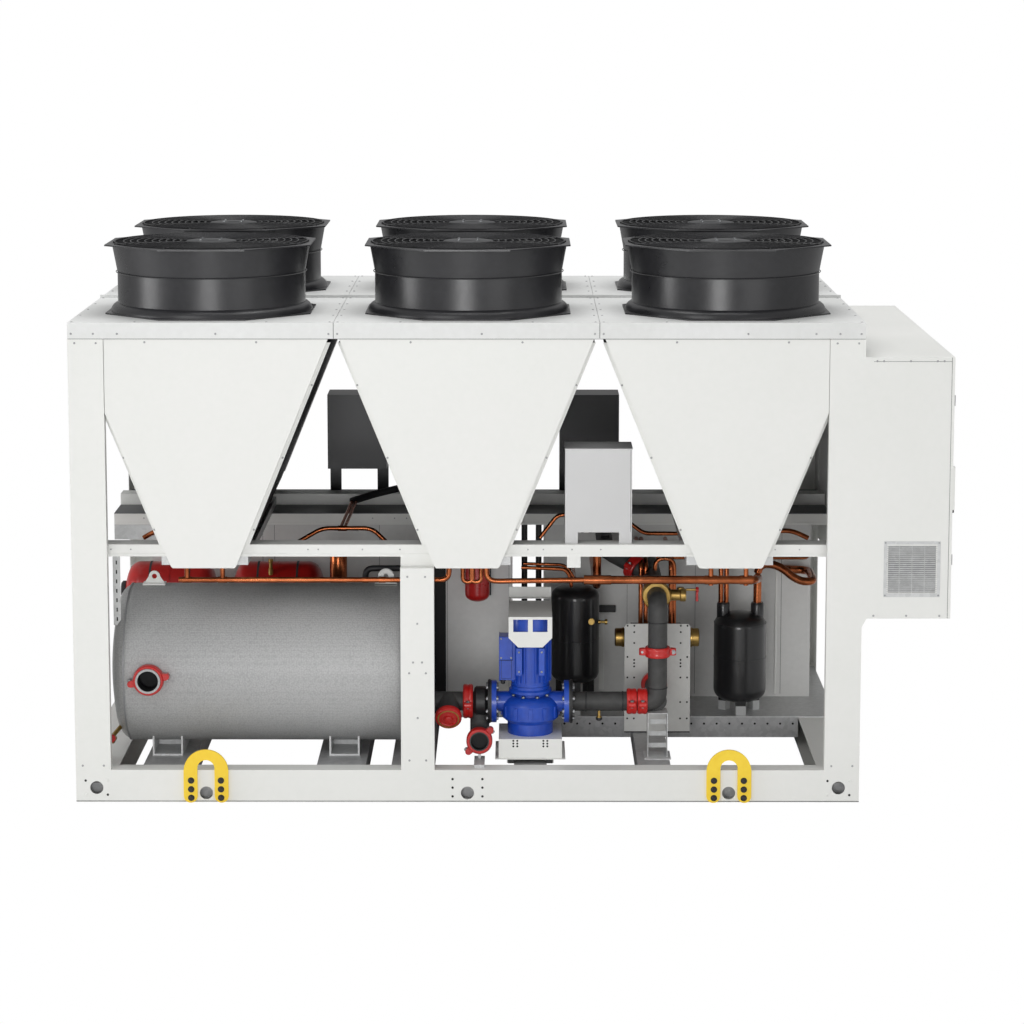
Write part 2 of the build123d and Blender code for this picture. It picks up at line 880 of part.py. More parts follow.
def pump_motor():
    """Upright finned motor with a plain cowl on top and its terminal box on the left."""
    z0 = pump_height + pump_neck_height
    body = rod_z(pump_x, pump_y, z0, z0 + motor_length, motor_body_radius)
    body += rod_z(pump_x, pump_y, z0 + motor_length - motor_cowl_length, z0 + motor_length,
                  motor_cowl_radius)
    low = z0 + motor_fin_start
    fin = block(0, motor_fin_reach, -motor_fin_wall / 2, motor_fin_wall / 2,
                low, low + motor_fin_length)
    body += [Pos(pump_x, pump_y, 0) * Rot(0, 0, 360 / motor_fin_count * n) * fin
             for n in range(motor_fin_count)]
    outer = pump_x - motor_body_radius - terminal_width
    return body + block(outer, pump_x - motor_body_radius / 2, pump_y - terminal_depth / 2,
                        pump_y + terminal_depth / 2, z0 + terminal_start,
                        z0 + terminal_start + terminal_height)


def pump_stand():
    """Sheet stool under the pump, with a turned-out lip and two feet."""
    x0, x1 = pump_x - stool_width / 2, pump_x + stool_width / 2
    y0, y1 = front + stool_front, front + stool_front + stool_depth
    low = rail_height + stool_foot_height
    stool = pan(x0, x1, y0, y1, low, pump_height, sheet)
    stool += pan(x0 - stool_lip, x1 + stool_lip, y0 - stool_lip, y1 + stool_lip, low, low + sheet,
                 stool_lip + sheet, "xy")
    for x in (x0 + stool_foot_inset, x1 - stool_foot_inset):
        stool += block(x - stool_foot_width / 2, x + stool_foot_width / 2, y0, y1,
                       rail_height, low + sheet)
    return stool


def pump_hood():
    """Bent sheet over the motor: a windowed front, a slotted top and a rising back."""
    z1 = pump_height + pump_neck_height + motor_length + sheet
    x0, x1 = pump_x - hood_width / 2, pump_x + hood_width / 2
    y0, y1 = front + hood_front, front + hood_front + hood_depth
    top = block(x0, x1, y0, y1, z1 - sheet, z1)
    top -= block(x0 + hood_slot_border, x1 - hood_slot_border, y1 - hood_slot_gap - hood_slot_depth,
                 y1 - hood_slot_gap, z1 - sheet, z1)
    back_wall = block(x0, x1, y1 - sheet, y1, z1 - sheet, z1 + hood_rise)
    cut = hood_chamfer
    outline = Polyline((x0, z1), (x1, z1), (x1, z1 - hood_drop + cut), (x1 - cut, z1 - hood_drop),
                       (x0 + cut, z1 - hood_drop), (x0, z1 - hood_drop + cut), close=True)
    face = extrude(front_plane(y0) * make_face(outline), amount=-sheet)
    high = z1 - hood_window_top
    gap = (hood_width - 2 * hood_window_width) / 3
    for x in (x0 + gap, x1 - gap - hood_window_width):
        face -= block(x, x + hood_window_width, y0 - 1, y0 + sheet + 1,
                      high - hood_window_height, high)
    return top + back_wall + face


# Water pipes

def flange_ring(x0):
    """Loose flange that faces one of the pump's flanges."""
    return rod_x(x0, x0 + flange_ring_wall, pump_y, pipe_height, pump_flange_radius)


def inlet_pipe():
    """Pipe from the tank to the pump, with a branch down to the open inlet in front."""
    end = pump_x - pump_reach
    run = rod_x(tank_x + tank_length / 4, end, pump_y, pipe_height, pipe_outer_radius)
    run -= Pos(tank_x, tank_y, tank_height) * domed_body(
        tank_length + 2 * seat_gap, tank_radius + seat_gap, tank_dome)
    run = run.solids().sort_by(Axis.X)[-1]
    branch = bent_pipe([(inlet_x, pump_y, pipe_height), (inlet_x, pump_y, inlet_height),
                        (inlet_x, front + inlet_mouth, inlet_height)], pipe_outer_radius, pipe_bend)
    pipe = run + branch + flange_ring(end - flange_ring_wall) + strainer()
    return pipe - rod_y(inlet_x, front + inlet_mouth - 1, front + inlet_mouth + inlet_bore_depth,
                        inlet_height, pipe_inner_radius)


def strainer():
    """Leg of the strainer, which points to the front and slightly down."""
    axis = Plane(origin=(left + strainer_place, pump_y, pipe_height),
                 z_dir=(0, -strainer_reach, -strainer_drop))
    leg = hypot(strainer_reach, strainer_drop)
    return axis * Cylinder(strainer_radius, leg, align=(Align.CENTER, Align.CENTER, Align.MIN))


def strainer_cap():
    """Red cap on the strainer's leg."""
    axis = Plane(origin=(left + strainer_place, pump_y, pipe_height),
                 z_dir=(0, -strainer_reach, -strainer_drop))
    leg = hypot(strainer_reach, strainer_drop)
    cap = Cylinder(strainer_cap_radius, strainer_cap_wall,
                   align=(Align.CENTER, Align.CENTER, Align.MIN))
    return axis * Pos(0, 0, leg) * cap


def outlet_pipe():
    """Pipe from the pump to the riser, which bends back at its top and meets the exchanger."""
    start = pump_x + pump_reach
    riser = bent_pipe([(start, pump_y, pipe_height), (riser_x, pump_y, pipe_height),
                       (riser_x, pump_y, riser_top), (riser_x, front + lid_depth, riser_top)],
                      pipe_outer_radius, riser_bend)
    lower = rod_y(riser_x, pump_y, exchanger_front, pipe_height, pipe_outer_radius)
    return riser + lower + flange_ring(start)


def coupling(radius, width, ear, bore):
    """Two-part grooved coupling with a bolted ear on each side, round an opening along Z."""
    body = Cylinder(radius, width) + Box(2 * (radius + ear), coupling_ear_height,
                                         width * coupling_ear_share)
    return body - Cylinder(bore + seat_gap, width + 2)


def pipe_couplings():
    """Couplings on the water pipes and on the tank's stub, and the strainer's cap."""
    small = coupling(coupling_radius, coupling_width, coupling_ear, pipe_outer_radius)
    large = coupling(tank_coupling_radius, tank_coupling_width, tank_coupling_ear,
                     stub_outer_radius)
    along_x, along_y = Rot(0, 90, 0), Rot(90, 0, 0)
    placed = [Pos(left + x, pump_y, pipe_height) * along_x * small for x in run_couplings]
    placed.append(Pos(riser_x, pump_y, riser_coupling_height) * small)
    placed.append(Pos(inlet_x, front + inlet_mouth + inlet_coupling_setback, inlet_height)
                  * along_y * Rot(0, 0, 45) * small)
    placed.append(Pos(stub_x, front + stub_setback + tank_coupling_setback, tank_height)
                  * along_y * large)
    return placed + [strainer_cap()]


def pipe_supports():
    """Foot under the inlet's mouth and channel under the riser's lower bend."""
    y0 = front + inlet_mouth + 2 * inlet_coupling_setback + coupling_width / 2 + inlet_foot_wall
    low = inlet_height - pipe_outer_radius - seat_gap
    half = inlet_foot_width / 2
    foot = block(inlet_x - half, inlet_x + half, front + rail_flange / 2, y0 + half,
                 rail_height, rail_height + inlet_foot_wall)
    foot += block(inlet_x - inlet_foot_wall / 2, inlet_x + inlet_foot_wall / 2, y0 - half, y0 + half,
                  rail_height, low)
    x0, x1 = riser_x - riser_foot_width / 2, riser_x + riser_foot_width / 2
    channel = pan(x0, x1, pump_y - riser_foot_depth / 2, pump_y + riser_foot_depth / 2,
                  rail_height, pipe_height - pipe_outer_radius - seat_gap, sheet, "xz")
    return [foot, channel]


# Refrigerant side

def heat_exchanger():
    """Plate pack behind a tall front plate, with a water header across it."""
    x0, x1 = left + exchanger_left, left + exchanger_left + exchanger_width
    y0 = exchanger_front
    plate = block(x0, x1, y0, y0 + exchanger_plate, rail_height, exchanger_top)
    plate = fillet(plate.edges().filter_by(Axis.Y).group_by(Axis.Z)[-1], exchanger_corner)
    pack = block(x0 + pack_margin, x1 - pack_margin, y0 + exchanger_plate, y0 + pack_depth,
                 rail_height, pack_top)
    header = rod_x(x0 - header_reach, x1 + header_reach, y0 + header_setback, header_height,
                   header_radius)
    return plate + pack + header


def standing_vessel(place, radius, low, high, dome):
    """Upright pressure vessel with domed ends on three flat feet."""
    body = Pos(0, 0, (low + high) / 2) * Rot(0, 90, 0) * domed_body(high - low, radius, dome)
    foot = block(radius * foot_inner_share, radius * foot_outer_share, -foot_width / 2,
                 foot_width / 2, shelf_top, low + dome)
    body += [Rot(0, 0, angle) * foot for angle in foot_angles]
    return Pos(left + place, front + vessel_row_depth, 0) * body


def housing(span, depth):
    """Sheet housing round a compressor, open below, standing on the shelf or the beams."""
    low = shelf_top if span[1] > shelf_left + end_rail_flange else rail_height
    return pan(left + span[0], left + span[1], front + depth, -deck_front - housing_back_gap,
               low, housing_top, sheet)


def copper_pipes():
    """Headers under the deck, risers from the accumulator and tubes of the exchanger."""
    y = front + header_depth
    pipes = []
    for ends, radius in ((left_header, header_radius_left), (right_header, header_radius_right)):
        x0, x1 = left + ends[0], left + ends[1]
        pipes.append(bent_pipe([(x0, y, lid_top), (x0, y, header_height_above),
                                (x1, y, header_height_above), (x1, y, lid_top)],
                               radius, header_bend))
    vessel_y = front + vessel_row_depth
    first, second = [left + x for x in suction_places]
    pipes.append(bent_pipe([(first, vessel_y, accumulator_top + seat_gap),
                            (first, vessel_y, suction_height),
                            (first, front + lid_depth, suction_height)],
                           suction_radius, suction_bend))
    pipes.append(bent_pipe([(second, vessel_y, accumulator_top + seat_gap),
                            (second, vessel_y, loop_height),
                            (left + loop_place, vessel_y, loop_height),
                            (left + loop_place, front + lid_depth, loop_height)],
                           suction_radius, suction_bend))
    tube_y = exchanger_front + header_setback + header_radius + 3 * exchanger_tube_radius
    for place in exchanger_tubes:
        pipes.append(bent_pipe([(left + place, tube_y, pack_top),
                                (left + place, tube_y, exchanger_tube_height),
                                (left + place, front + lid_depth, exchanger_tube_height)],
                               exchanger_tube_radius, header_bend))
    return pipes


def insulated_pipes():
    """Black insulated pipes that come down between the two housings behind the pump."""
    y = front + lid_depth + 3 * insulated_radius
    pipes = []
    for place in insulated_places:
        x = left + place
        pipes.append(bent_pipe([(x, y, v_bottom - deck_rail_height), (x, y, insulated_low),
                                (x, y + 4 * header_bend, insulated_low)],
                               insulated_radius, header_bend))
    return pipes


def lifting_lug(x):
    """Hooped plate bolted to the front rail over its lifting hole, with two round feet."""
    half = lug_width / 2
    slot_half = half - lug_arm
    crown = lug_height - half
    hoop = Pos(x, crown) * Circle(half) + Pos(x, crown / 2) * Rectangle(lug_width, crown)
    bend = lug_slot_top - slot_half
    slot = Pos(x, bend) * Circle(slot_half) + Pos(x, bend / 2) * Rectangle(2 * slot_half, bend)
    face = hoop - slot
    feet = face.vertices().group_by(Axis.Y)[0]
    face = fillet(feet, lug_arm * 0.49)
    return extrude(front_plane(front) * face, amount=lug_wall)


os.makedirs("parts", exist_ok=True)

save("base_rails_long", long_rail(), to_back(long_rail()))
save("base_rails_end", end_rail(left, 1), end_rail(frame_right, -1))
save("base_crossbeams", *[cross_beam(x, w) for x, w in zip(beam_places, beam_widths)])
save("middle_beams", *middle_beams())
save("machine_shelf", machine_shelf())
posts = [corner_post(left, 1), corner_post(frame_right, -1)]
save("corner_posts", *posts, *[to_back(post) for post in posts])
save("centre_posts", front_centre_post(), to_back(centre_post()))
save("deck_rails", *deck_rails())
save("compartment_lid", compartment_lid())
save("drip_trays", *[drip_tray(x) for x in module_centres])
save("roof_panels_front", *[roof_panel(x) for x in module_centres])
save("roof_panels_back", *[to_back(roof_panel(x)) for x in module_centres])
save("roof_ridge", ridge())
for number, centre in enumerate(module_centres, 1):
    save(f"v_panel_front_{number}", v_panel(centre))
    save(f"v_panel_back_{number}", to_back(v_panel(centre)))
    save(f"coil_pair_{number}", coil(centre, -1), coil(centre, 1))
plates = [coil_end_plate(x, side) for x in module_centres for side in (-1, 1)]
save("coil_end_plates", *plates, *[to_back(plate) for plate in plates])
for number, shroud in enumerate(at_fans(fan_shroud()), 1):
    save(f"fan_shroud_{number}", shroud)
save("fan_guards", *at_fans(fan_guard()))
save("fan_motors", *at_fans(fan_motor()))
for number, impeller in enumerate(at_fans(fan_impeller()), 1):
    save(f"fan_impeller_{number}", impeller)
save("electrical_cabinet", cabinet())
save("cabinet_vent", cabinet_vent())
save("cabinet_door", cabinet_door())
save("control_boxes", *control_boxes())
save("storage_tank", tank())
save("tank_saddles", *[tank_saddle(x) for x in saddle_places])
save("tank_eyes", *[tank_eye(x) for x in eye_places])
save("expansion_vessels", *[expansion_vessel(x) for x in vessel_places], hanging_vessel())
save("vessel_stand", vessel_stand())
save("vessel_stand_legs", *[stand_leg_post(x) for x in stand_leg_places])
save("pump_casing", pump_casing())
save("pump_motor", pump_motor())
save("pump_stand", pump_stand())
save("pump_hood", pump_hood())
save("water_pipes", inlet_pipe(), outlet_pipe())
save("pipe_couplings", *pipe_couplings())
save("pipe_supports", *pipe_supports())
save("heat_exchanger", heat_exchanger())
save("refrigerant_vessels",
     standing_vessel(receiver_place, receiver_radius, receiver_bottom, receiver_top,
                     receiver_dome),
     standing_vessel(accumulator_place, accumulator_radius, accumulator_bottom,
                     accumulator_top, accumulator_dome))
save("compressor_housings", housing(left_housing, lid_depth),
     housing(centre_housing, centre_housing_depth), housing(right_housing, lid_depth))
save("copper_pipes", *copper_pipes())
save("insulated_pipes", *insulated_pipes())
save("lifting_lugs", *[lifting_lug(x) for x in lift_hole_x],
     *[to_back(lifting_lug(x)) for x in lift_hole_x])
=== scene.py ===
# %% [markdown]
# # A roof-fan heat pump, from its CAD frame to a finished picture
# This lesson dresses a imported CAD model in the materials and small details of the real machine.
# The CAD nodes carry the big shapes. Every new piece is placed by the same distances that the
# drawing uses: X from the left end of the frame, Y from its front, Z from the ground.

# %% The CAD frame comes first
import bmesh
import bpy
import numpy as np
from math import cos, pi, radians, sin
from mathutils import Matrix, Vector


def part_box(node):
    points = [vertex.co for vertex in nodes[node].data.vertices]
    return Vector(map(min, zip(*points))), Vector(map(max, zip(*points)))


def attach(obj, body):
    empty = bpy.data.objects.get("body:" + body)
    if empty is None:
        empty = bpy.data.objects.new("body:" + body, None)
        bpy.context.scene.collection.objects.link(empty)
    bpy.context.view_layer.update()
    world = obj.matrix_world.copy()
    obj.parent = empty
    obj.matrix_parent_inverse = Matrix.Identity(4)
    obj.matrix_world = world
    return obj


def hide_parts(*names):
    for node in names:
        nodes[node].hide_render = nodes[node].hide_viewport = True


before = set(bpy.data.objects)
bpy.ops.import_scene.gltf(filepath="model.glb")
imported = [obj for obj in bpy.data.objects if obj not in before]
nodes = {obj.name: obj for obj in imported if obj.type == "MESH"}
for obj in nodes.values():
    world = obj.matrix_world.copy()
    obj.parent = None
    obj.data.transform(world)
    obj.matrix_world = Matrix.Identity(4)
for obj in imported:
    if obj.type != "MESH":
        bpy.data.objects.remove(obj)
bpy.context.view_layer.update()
rail_low, rail_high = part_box("base_rails_long")
ORIGIN = np.array([rail_low.x, rail_low.y, 0.0])

# %% [markdown]
# ## Sizes that many pieces share
# A machine like this repeats itself: three modules, two rows of fans, two long rails.
# Naming the repeats once keeps every stamped bolt and screw in step with the CAD.

# %% Shared places, in millimetres
PITCH = 1190
LENGTH = 3 * PITCH
DEPTH = 2200
ROOF = 2200
MODULES = [PITCH * (n + 0.5) for n in range(3)]
FANS = [(x, y) for y in (DEPTH / 4, 3 * DEPTH / 4) for x in MODULES]
FAN_HEIGHT = 318
PUMP_X, PUMP_Y, PIPE_Z = 2072, 280, 405
TANK_X, TANK_Y, TANK_Z, TANK_R = 846, 450, 556, 366
V_BOTTOM, V_TOP, V_LOW_HALF, V_TOP_HALF = 1085, 2127, 147, 570


def v_half(z):
    """Half width of a V panel at height z: a straight line from its foot to its top."""
    return V_LOW_HALF + (V_TOP_HALF - V_LOW_HALF) * (z - V_BOTTOM) / (V_TOP - V_BOTTOM)


# %% [markdown]
# ## A small box of mesh tools
# A shape here is a pair: an array of corner points and a list of faces. Lathes, tubes and
# plates are all grids of points over two parameters, so one function that stitches a grid
# serves them all. Whole arrays do the arithmetic, which stays fast for thousands of bolts.

# %% Shapes as arrays
AXES = {"x": np.array([[0, 0, 1], [1, 0, 0], [0, 1, 0]], float),
        "y": np.array([[1, 0, 0], [0, 0, 1], [0, -1, 0]], float),
        "z": np.eye(3)}


def merge(*shapes):
    """Joins shapes into one: the points are stacked and the face numbers shifted."""
    points, faces, start = [], [], 0
    for verts, polys in shapes:
        points.append(verts)
        faces += [[i + start for i in poly] for poly in polys]
        start += len(verts)
    return np.concatenate(points), faces


def stitch(points, close_u=False, close_v=False):
    """Shape from a grid of n by m points: each cell is one quad, rows wrap where closed."""
    n, m = points.shape[:2]
    index = np.arange(n * m).reshape(n, m)
    u = np.arange(n if close_u else n - 1)
    v = np.arange(m if close_v else m - 1)
    a = index[u][:, v]
    b = index[(u + 1) % n][:, v]
    c = index[(u + 1) % n][:, (v + 1) % m]
    d = index[u][:, (v + 1) % m]
    return points.reshape(-1, 3), np.stack([a, b, c, d], -1).reshape(-1, 4).tolist()


def lathe(profile, sides=32, axis="z"):
    """Profile of (radius, height) pairs turned about an axis: x = r cos t, y = r sin t."""
    r, h = np.array(profile, float).T
    t = np.linspace(0, 2 * pi, sides, endpoint=False)[:, None]
    points = np.stack([r * np.cos(t), r * np.sin(t), h + 0 * t], -1)
    verts, faces = stitch(points, close_u=True)
    return verts @ AXES[axis].T, faces


def tube(path, radius, sides=12, closed=False):
    """Round pipe along a path: two normals span each cross-section's circle."""
    path = np.array(path, float)
    if closed:
        along = np.roll(path, -1, 0) - np.roll(path, 1, 0)
    else:
        along = np.gradient(path, axis=0)
    along /= np.linalg.norm(along, axis=1, keepdims=True)
    spread = np.abs(along).sum(0)
    reference = np.eye(3)[spread.argmin()] + np.array([0.02, 0.03, 0.01])
    side = np.cross(along, reference)
    side /= np.linalg.norm(side, axis=1, keepdims=True)
    up = np.cross(side, along)
    t = np.linspace(0, 2 * pi, sides, endpoint=False)[None, :, None]
    points = path[:, None] + radius * (np.cos(t) * side[:, None] + np.sin(t) * up[:, None])
    verts, faces = stitch(points, close_u=closed, close_v=True)
    if not closed:
        last = len(verts) - sides
        faces += [list(range(sides)), list(range(last, last + sides))]
    return verts, faces


def bent(corners, bend, steps=8):
    """Path through corners, each rounded by a quadratic curve that starts one bend before it."""
    corners = np.array(corners, float)
    pieces = [corners[:1]]
    t = np.linspace(0, 1, steps)[:, None]
    for before, here, after in zip(corners, corners[1:], corners[2:]):
        enter = here + (before - here) * min(bend / np.linalg.norm(before - here), 0.5)
        leave = here + (after - here) * min(bend / np.linalg.norm(after - here), 0.5)
        pieces.append((1 - t) ** 2 * enter + 2 * t * (1 - t) * here + t ** 2 * leave)
    pieces.append(corners[-1:])
    return np.concatenate(pieces)


def block(lo, hi):
    """Box between two corners, as its eight points and six faces."""
    lo, hi = np.minimum(lo, hi), np.maximum(lo, hi)
    bits = np.array([[i >> 2 & 1, i >> 1 & 1, i & 1] for i in range(8)])
    faces = [[0, 1, 3, 2], [4, 6, 7, 5], [0, 4, 5, 1], [2, 3, 7, 6], [0, 2, 6, 4], [1, 5, 7, 3]]
    return lo + bits * (hi - lo), faces


def plate(outline, depth, thick, axis="y"):
    """Flat outline of (across, up) pairs given a thickness: two copies joined by a band."""
    a, b = np.array(outline, float).T
    n = len(a)
    if axis == "y":
        near = np.stack([a, a * 0 + depth, b], -1)
        step = np.array([0, thick, 0])
    elif axis == "x":
        near = np.stack([a * 0 + depth, a, b], -1)
        step = np.array([thick, 0, 0])
    else:
        near = np.stack([a, b, a * 0 + depth], -1)
        step = np.array([0, 0, thick])
    i = np.arange(n)
    band = np.stack([i, (i + 1) % n, (i + 1) % n + n, i + n], -1).tolist()
    return np.concatenate([near, near + step]), band + [list(range(n)), list(range(n, 2 * n))]


def moved(shape, place):
    """The same shape carried to a place."""
    return shape[0] + np.array(place, float), shape[1]


def turned(shape, angle, axis="z"):
    """The same shape turned about one axis by an angle in degrees."""
    c, s = cos(radians(angle)), sin(radians(angle))
    about = {"z": [[c, -s, 0], [s, c, 0], [0, 0, 1]], "x": [[1, 0, 0], [0, c, -s], [0, s, c]],
             "y": [[c, 0, s], [0, 1, 0], [-s, 0, c]]}[axis]
    return shape[0] @ np.array(about).T, shape[1]


def stamp(shape, places):
    """Copies of one small shape at many places, as one shape."""
    return merge(*[moved(shape, place) for place in places])


def to_back(shape):
    """Mirror image of a front shape on the back of the unit."""
    return shape[0] * [1, -1, 1] + [0, DEPTH, 0], shape[1]


def both(shape):
    """A front shape together with its mirror image at the back."""
    return merge(shape, to_back(shape))


def circle(radius, count, start=0.0):
    """Evenly spaced points on a circle, as (across, up) pairs."""
    t = start + np.linspace(0, 2 * pi, count, endpoint=False)
    return np.stack([radius * np.cos(t), radius * np.sin(t)], -1)


print("mesh tools ready")

# %% [markdown]
# ## Fasteners
# Bolts and screws tell the eye how big a machine is. A hexagonal head is a lathe with six
# sides, its washer is a lathe with more, and a screw is a low dome. Each points along +Z
# here and is turned to face the front, where most of them are.

# %% Bolt, screw and hole
def bolt(radius, sides=6):
    """Hexagonal head with a chamfer, on a round washer, along Z."""
    washer = lathe([(0, 0), (radius * 1.35, 0), (radius * 1.35, radius * 0.18), (0, radius * 0.18)], 16)
    head = lathe([(radius, 0), (radius, radius * 0.75), (radius * 0.85, radius * 0.9),
                  (0, radius * 0.92)], sides)
    return merge(washer, head)


def screw(radius):
    """Low domed head with a small flat driver recess, along Z."""
    return lathe([(radius, 0), (radius * 0.92, radius * 0.28), (radius * 0.62, radius * 0.48),
                  (radius * 0.3, radius * 0.52), (radius * 0.26, radius * 0.3), (0, radius * 0.3)], 14)


def facing(shape, way):
    """A shape made along Z, turned to look along another direction."""
    turns = {"front": (90, "x"), "back": (-90, "x"), "left": (-90, "y"), "right": (90, "y"),
             "down": (180, "x"), "up": (0, "x")}
    return turned(shape, *turns[way])


def disc(radius, thick=0.6, sides=20):
    """Thin round plate that stands for the shaded inside of a drilled hole and carries painted shade."""
    return lathe([(0, 0), (radius, 0), (radius, thick), (0, thick)], sides)


print("screw", len(screw(6)[0]), "points, bolt", len(bolt(10)[0]), "points")

# %% [markdown]
# ## Shader arithmetic that reads like arithmetic
# A material is a graph of nodes. Wrapping a socket in a small class lets plus, minus and
# times build the nodes, so a finish can be written as a formula. Patterns always come from
# object coordinates, so they stay on the surface when the camera moves.

# %% A socket that can be added and multiplied
class Wire:
    def __init__(self, tree, socket):
        self.tree, self.socket = tree, socket

    def node(self, kind, settings=None, **inputs):
        """Adds a node of any kind: first its settings, then values or links for its sockets."""
        made = self.tree.nodes.new(kind)
        for key, value in (settings or {}).items():
            setattr(made, key, value)
        for key, value in inputs.items():
            name = int(key[1:]) if key[0] == "_" else key.replace("_", " ")
            target = made.inputs[name]
            if isinstance(value, Wire):
                self.tree.links.new(value.socket, target)
            else:
                target.default_value = value
        return made

    def out(self, made, name=0):
        return Wire(self.tree, made.outputs[name])

    def math(self, operation, other=0.0, clamp=False):
        return self.out(self.node("ShaderNodeMath", {"operation": operation, "use_clamp": clamp},
                                  _0=self, _1=other))

    def __add__(self, other): return self.math("ADD", other)
    def __radd__(self, other): return self.math("ADD", other)
    def __mul__(self, other): return self.math("MULTIPLY", other)
    def __rmul__(self, other): return self.math("MULTIPLY", other)
    def __sub__(self, other): return self.math("SUBTRACT", other)
    def __rsub__(self, other): return (self * -1.0) + other

    def ramp(self, low, high):
        """Straight ramp from 0 at low to 1 at high, held at both ends."""
        return ((self - low) * (1 / (high - low))).math("ADD", 0.0, clamp=True)

    def blend(self, first, second):
        """Colour that goes from the first to the second as this value goes from 0 to 1."""
        made = self.node("ShaderNodeMix", {"data_type": "RGBA"}, _0=self, _6=first, _7=second)
        return Wire(self.tree, made.outputs[2])


def rgb(r, g, b):
    """Screen colour of 0 to 255 as linear light."""
    c = np.array([r, g, b]) / 255
    linear = np.where(c <= 0.04045, c / 12.92, ((c + 0.055) / 1.055) ** 2.4)
    return (*linear.tolist(), 1.0)


def start(name):
    """New material: its shader and a wire that carries object coordinates."""
    material = bpy.data.materials.new(name)
    material.use_nodes = True
    tree = material.node_tree
    shader = tree.nodes["Principled BSDF"]
    coord = Wire(tree, tree.nodes.new("ShaderNodeTexCoord").outputs["Object"])
    return material, shader, coord


def noise(coord, scale, detail=3.0, stretch=None):
    """Cloudy value between 0 and 1; stretch scales the axes apart for grain and streaks."""
    if stretch:
        scaled = coord.node("ShaderNodeVectorMath", {"operation": "MULTIPLY"}, _0=coord, _1=stretch)
        coord = Wire(coord.tree, scaled.outputs[0])
    made = coord.node("ShaderNodeTexNoise", Vector=coord, Scale=scale, Detail=detail)
    return Wire(coord.tree, made.outputs["Fac"])


def link(shader, **values):
    """Gives the shader's sockets their values or wires."""
    for key, value in values.items():
        socket = shader.inputs[key.replace("_", " ")]
        if isinstance(value, Wire):
            value.tree.links.new(value.socket, socket)
        else:
            socket.default_value = value


def bump(height, distance, strength=1.0):
    """Normal from a height value; the distance is the height of a full step, in metres."""
    made = height.node("ShaderNodeBump", Height=height, Distance=distance, Strength=strength)
    return Wire(height.tree, made.outputs["Normal"])


print("shader tools ready")

# %% [markdown]
# ## Finishes
# Most surfaces are a coat over sheet metal. What makes a coat believable is small: two close
# tones in slow clouds and a fine orange-peel ripple in the gloss. One recipe with different
# numbers covers paints, plastics and foam.

# %% One recipe for coats
def coat(name, dark, light, rough=(0.35, 0.5), metal=0.0, cloud=1.3, peel=180.0, depth=0.0002,
         streak=None, varnish=0.0, specular=0.5):
    """Two tones in clouds, roughness that follows them, and a fine ripple in the surface."""
    material, shader, coord = start(name)
    slow = noise(coord, cloud, 4.0, streak)
    fine = noise(coord, 35.0, 3.0)
    tone = (slow * 0.7 + fine * 0.3).ramp(0.32, 0.68)
    ripple = noise(coord, peel, 2.0)
    link(shader, Base_Color=tone.blend(dark, light), Metallic=metal,
         Roughness=tone * (rough[1] - rough[0]) + rough[0], Normal=bump(ripple, depth),
         Coat_Weight=varnish, Coat_Roughness=0.12, Specular_IOR_Level=specular)
    return material


def galvanised(name, dark, light, metal=0.4):
    """Zinc spangle: flat cells of slightly different brightness with a dull sheen."""
    material, shader, coord = start(name)
    cells = Wire(coord.tree, coord.node("ShaderNodeTexVoronoi", Vector=coord, Scale=55.0).outputs["Color"])
    grey = Wire(coord.tree, coord.node("ShaderNodeRGBToBW", Color=cells).outputs[0])
    tone = (grey * 0.6 + noise(coord, 3.0, 4.0) * 0.5).ramp(0.2, 0.9)
    link(shader, Base_Color=tone.blend(dark, light), Metallic=metal,
         Roughness=tone * 0.18 + 0.36, Normal=bump(grey, 0.0002))
    return material


def waves(name, dark, light, axis, pitch, rough, metal, depth):
    """Fine parallel ridges across one axis, as on fins: a sine of that coordinate that makes the bump and also paints
    shade between the ridges.
    """
    material, shader, coord = start(name)
    parts = coord.node("ShaderNodeSeparateXYZ", Vector=coord)
    across = Wire(coord.tree, parts.outputs[axis])
    ridge = (across * (2 * pi / pitch)).math("SINE") * 0.5 + 0.5
    cloud = noise(coord, 4.0, 4.0)
    # The colour is painted shade between the ridges, darker in each trough, plus random clouds of tone.
    tone = (ridge * 0.75 + cloud * 0.35).ramp(0.1, 1.0)
    link(shader, Base_Color=tone.blend(dark, light), Metallic=metal,
         Roughness=cloud * 0.2 + rough, Normal=bump(ridge, depth))
    return material


def embossed(name, dark, light):
    """Stucco-embossed jacket: a close net of raised cells over a soft foam colour, with painted shade in the creases
    between cells.
    """
    material, shader, coord = start(name)
    made = coord.node("ShaderNodeTexVoronoi", {"feature": "SMOOTH_F1"}, Vector=coord, Scale=130.0,
                      Smoothness=0.5, Randomness=0.6)
    cell = Wire(coord.tree, made.outputs["Distance"]).ramp(0.1, 0.75)
    cloud = noise(coord, 1.6, 4.0)
    # The colour is painted shade in the creases between raised cells, plus slow clouds of tone.
    tone = ((1.0 - cell) * 0.55 + cloud * 0.45).ramp(0.1, 0.9)
    link(shader, Base_Color=tone.blend(dark, light), Metallic=0.1,
         Roughness=cell * 0.12 + 0.42, Normal=bump(1.0 - cell, 0.0006))
    return material


def back_row_shade(name, near, far):
    """Grey sheet that is pale on the front row and darkened by painted shade on the back row of the unit."""
    material, shader, coord = start(name)
    parts = coord.node("ShaderNodeSeparateXYZ", Vector=coord)
    behind = Wire(coord.tree, parts.outputs[1]).ramp(-0.1, 0.1)
    cloud = noise(coord, 2.0, 4.0)
    # The back row's darker grey is painted shade, blended in by the Y coordinate.
    link(shader, Base_Color=(behind + cloud * 0.05 - 0.02).ramp(0, 1).blend(near, far),
         Roughness=cloud * 0.15 + 0.3, Metallic=0.15, Normal=bump(noise(coord, 180.0), 0.0002))
    return material


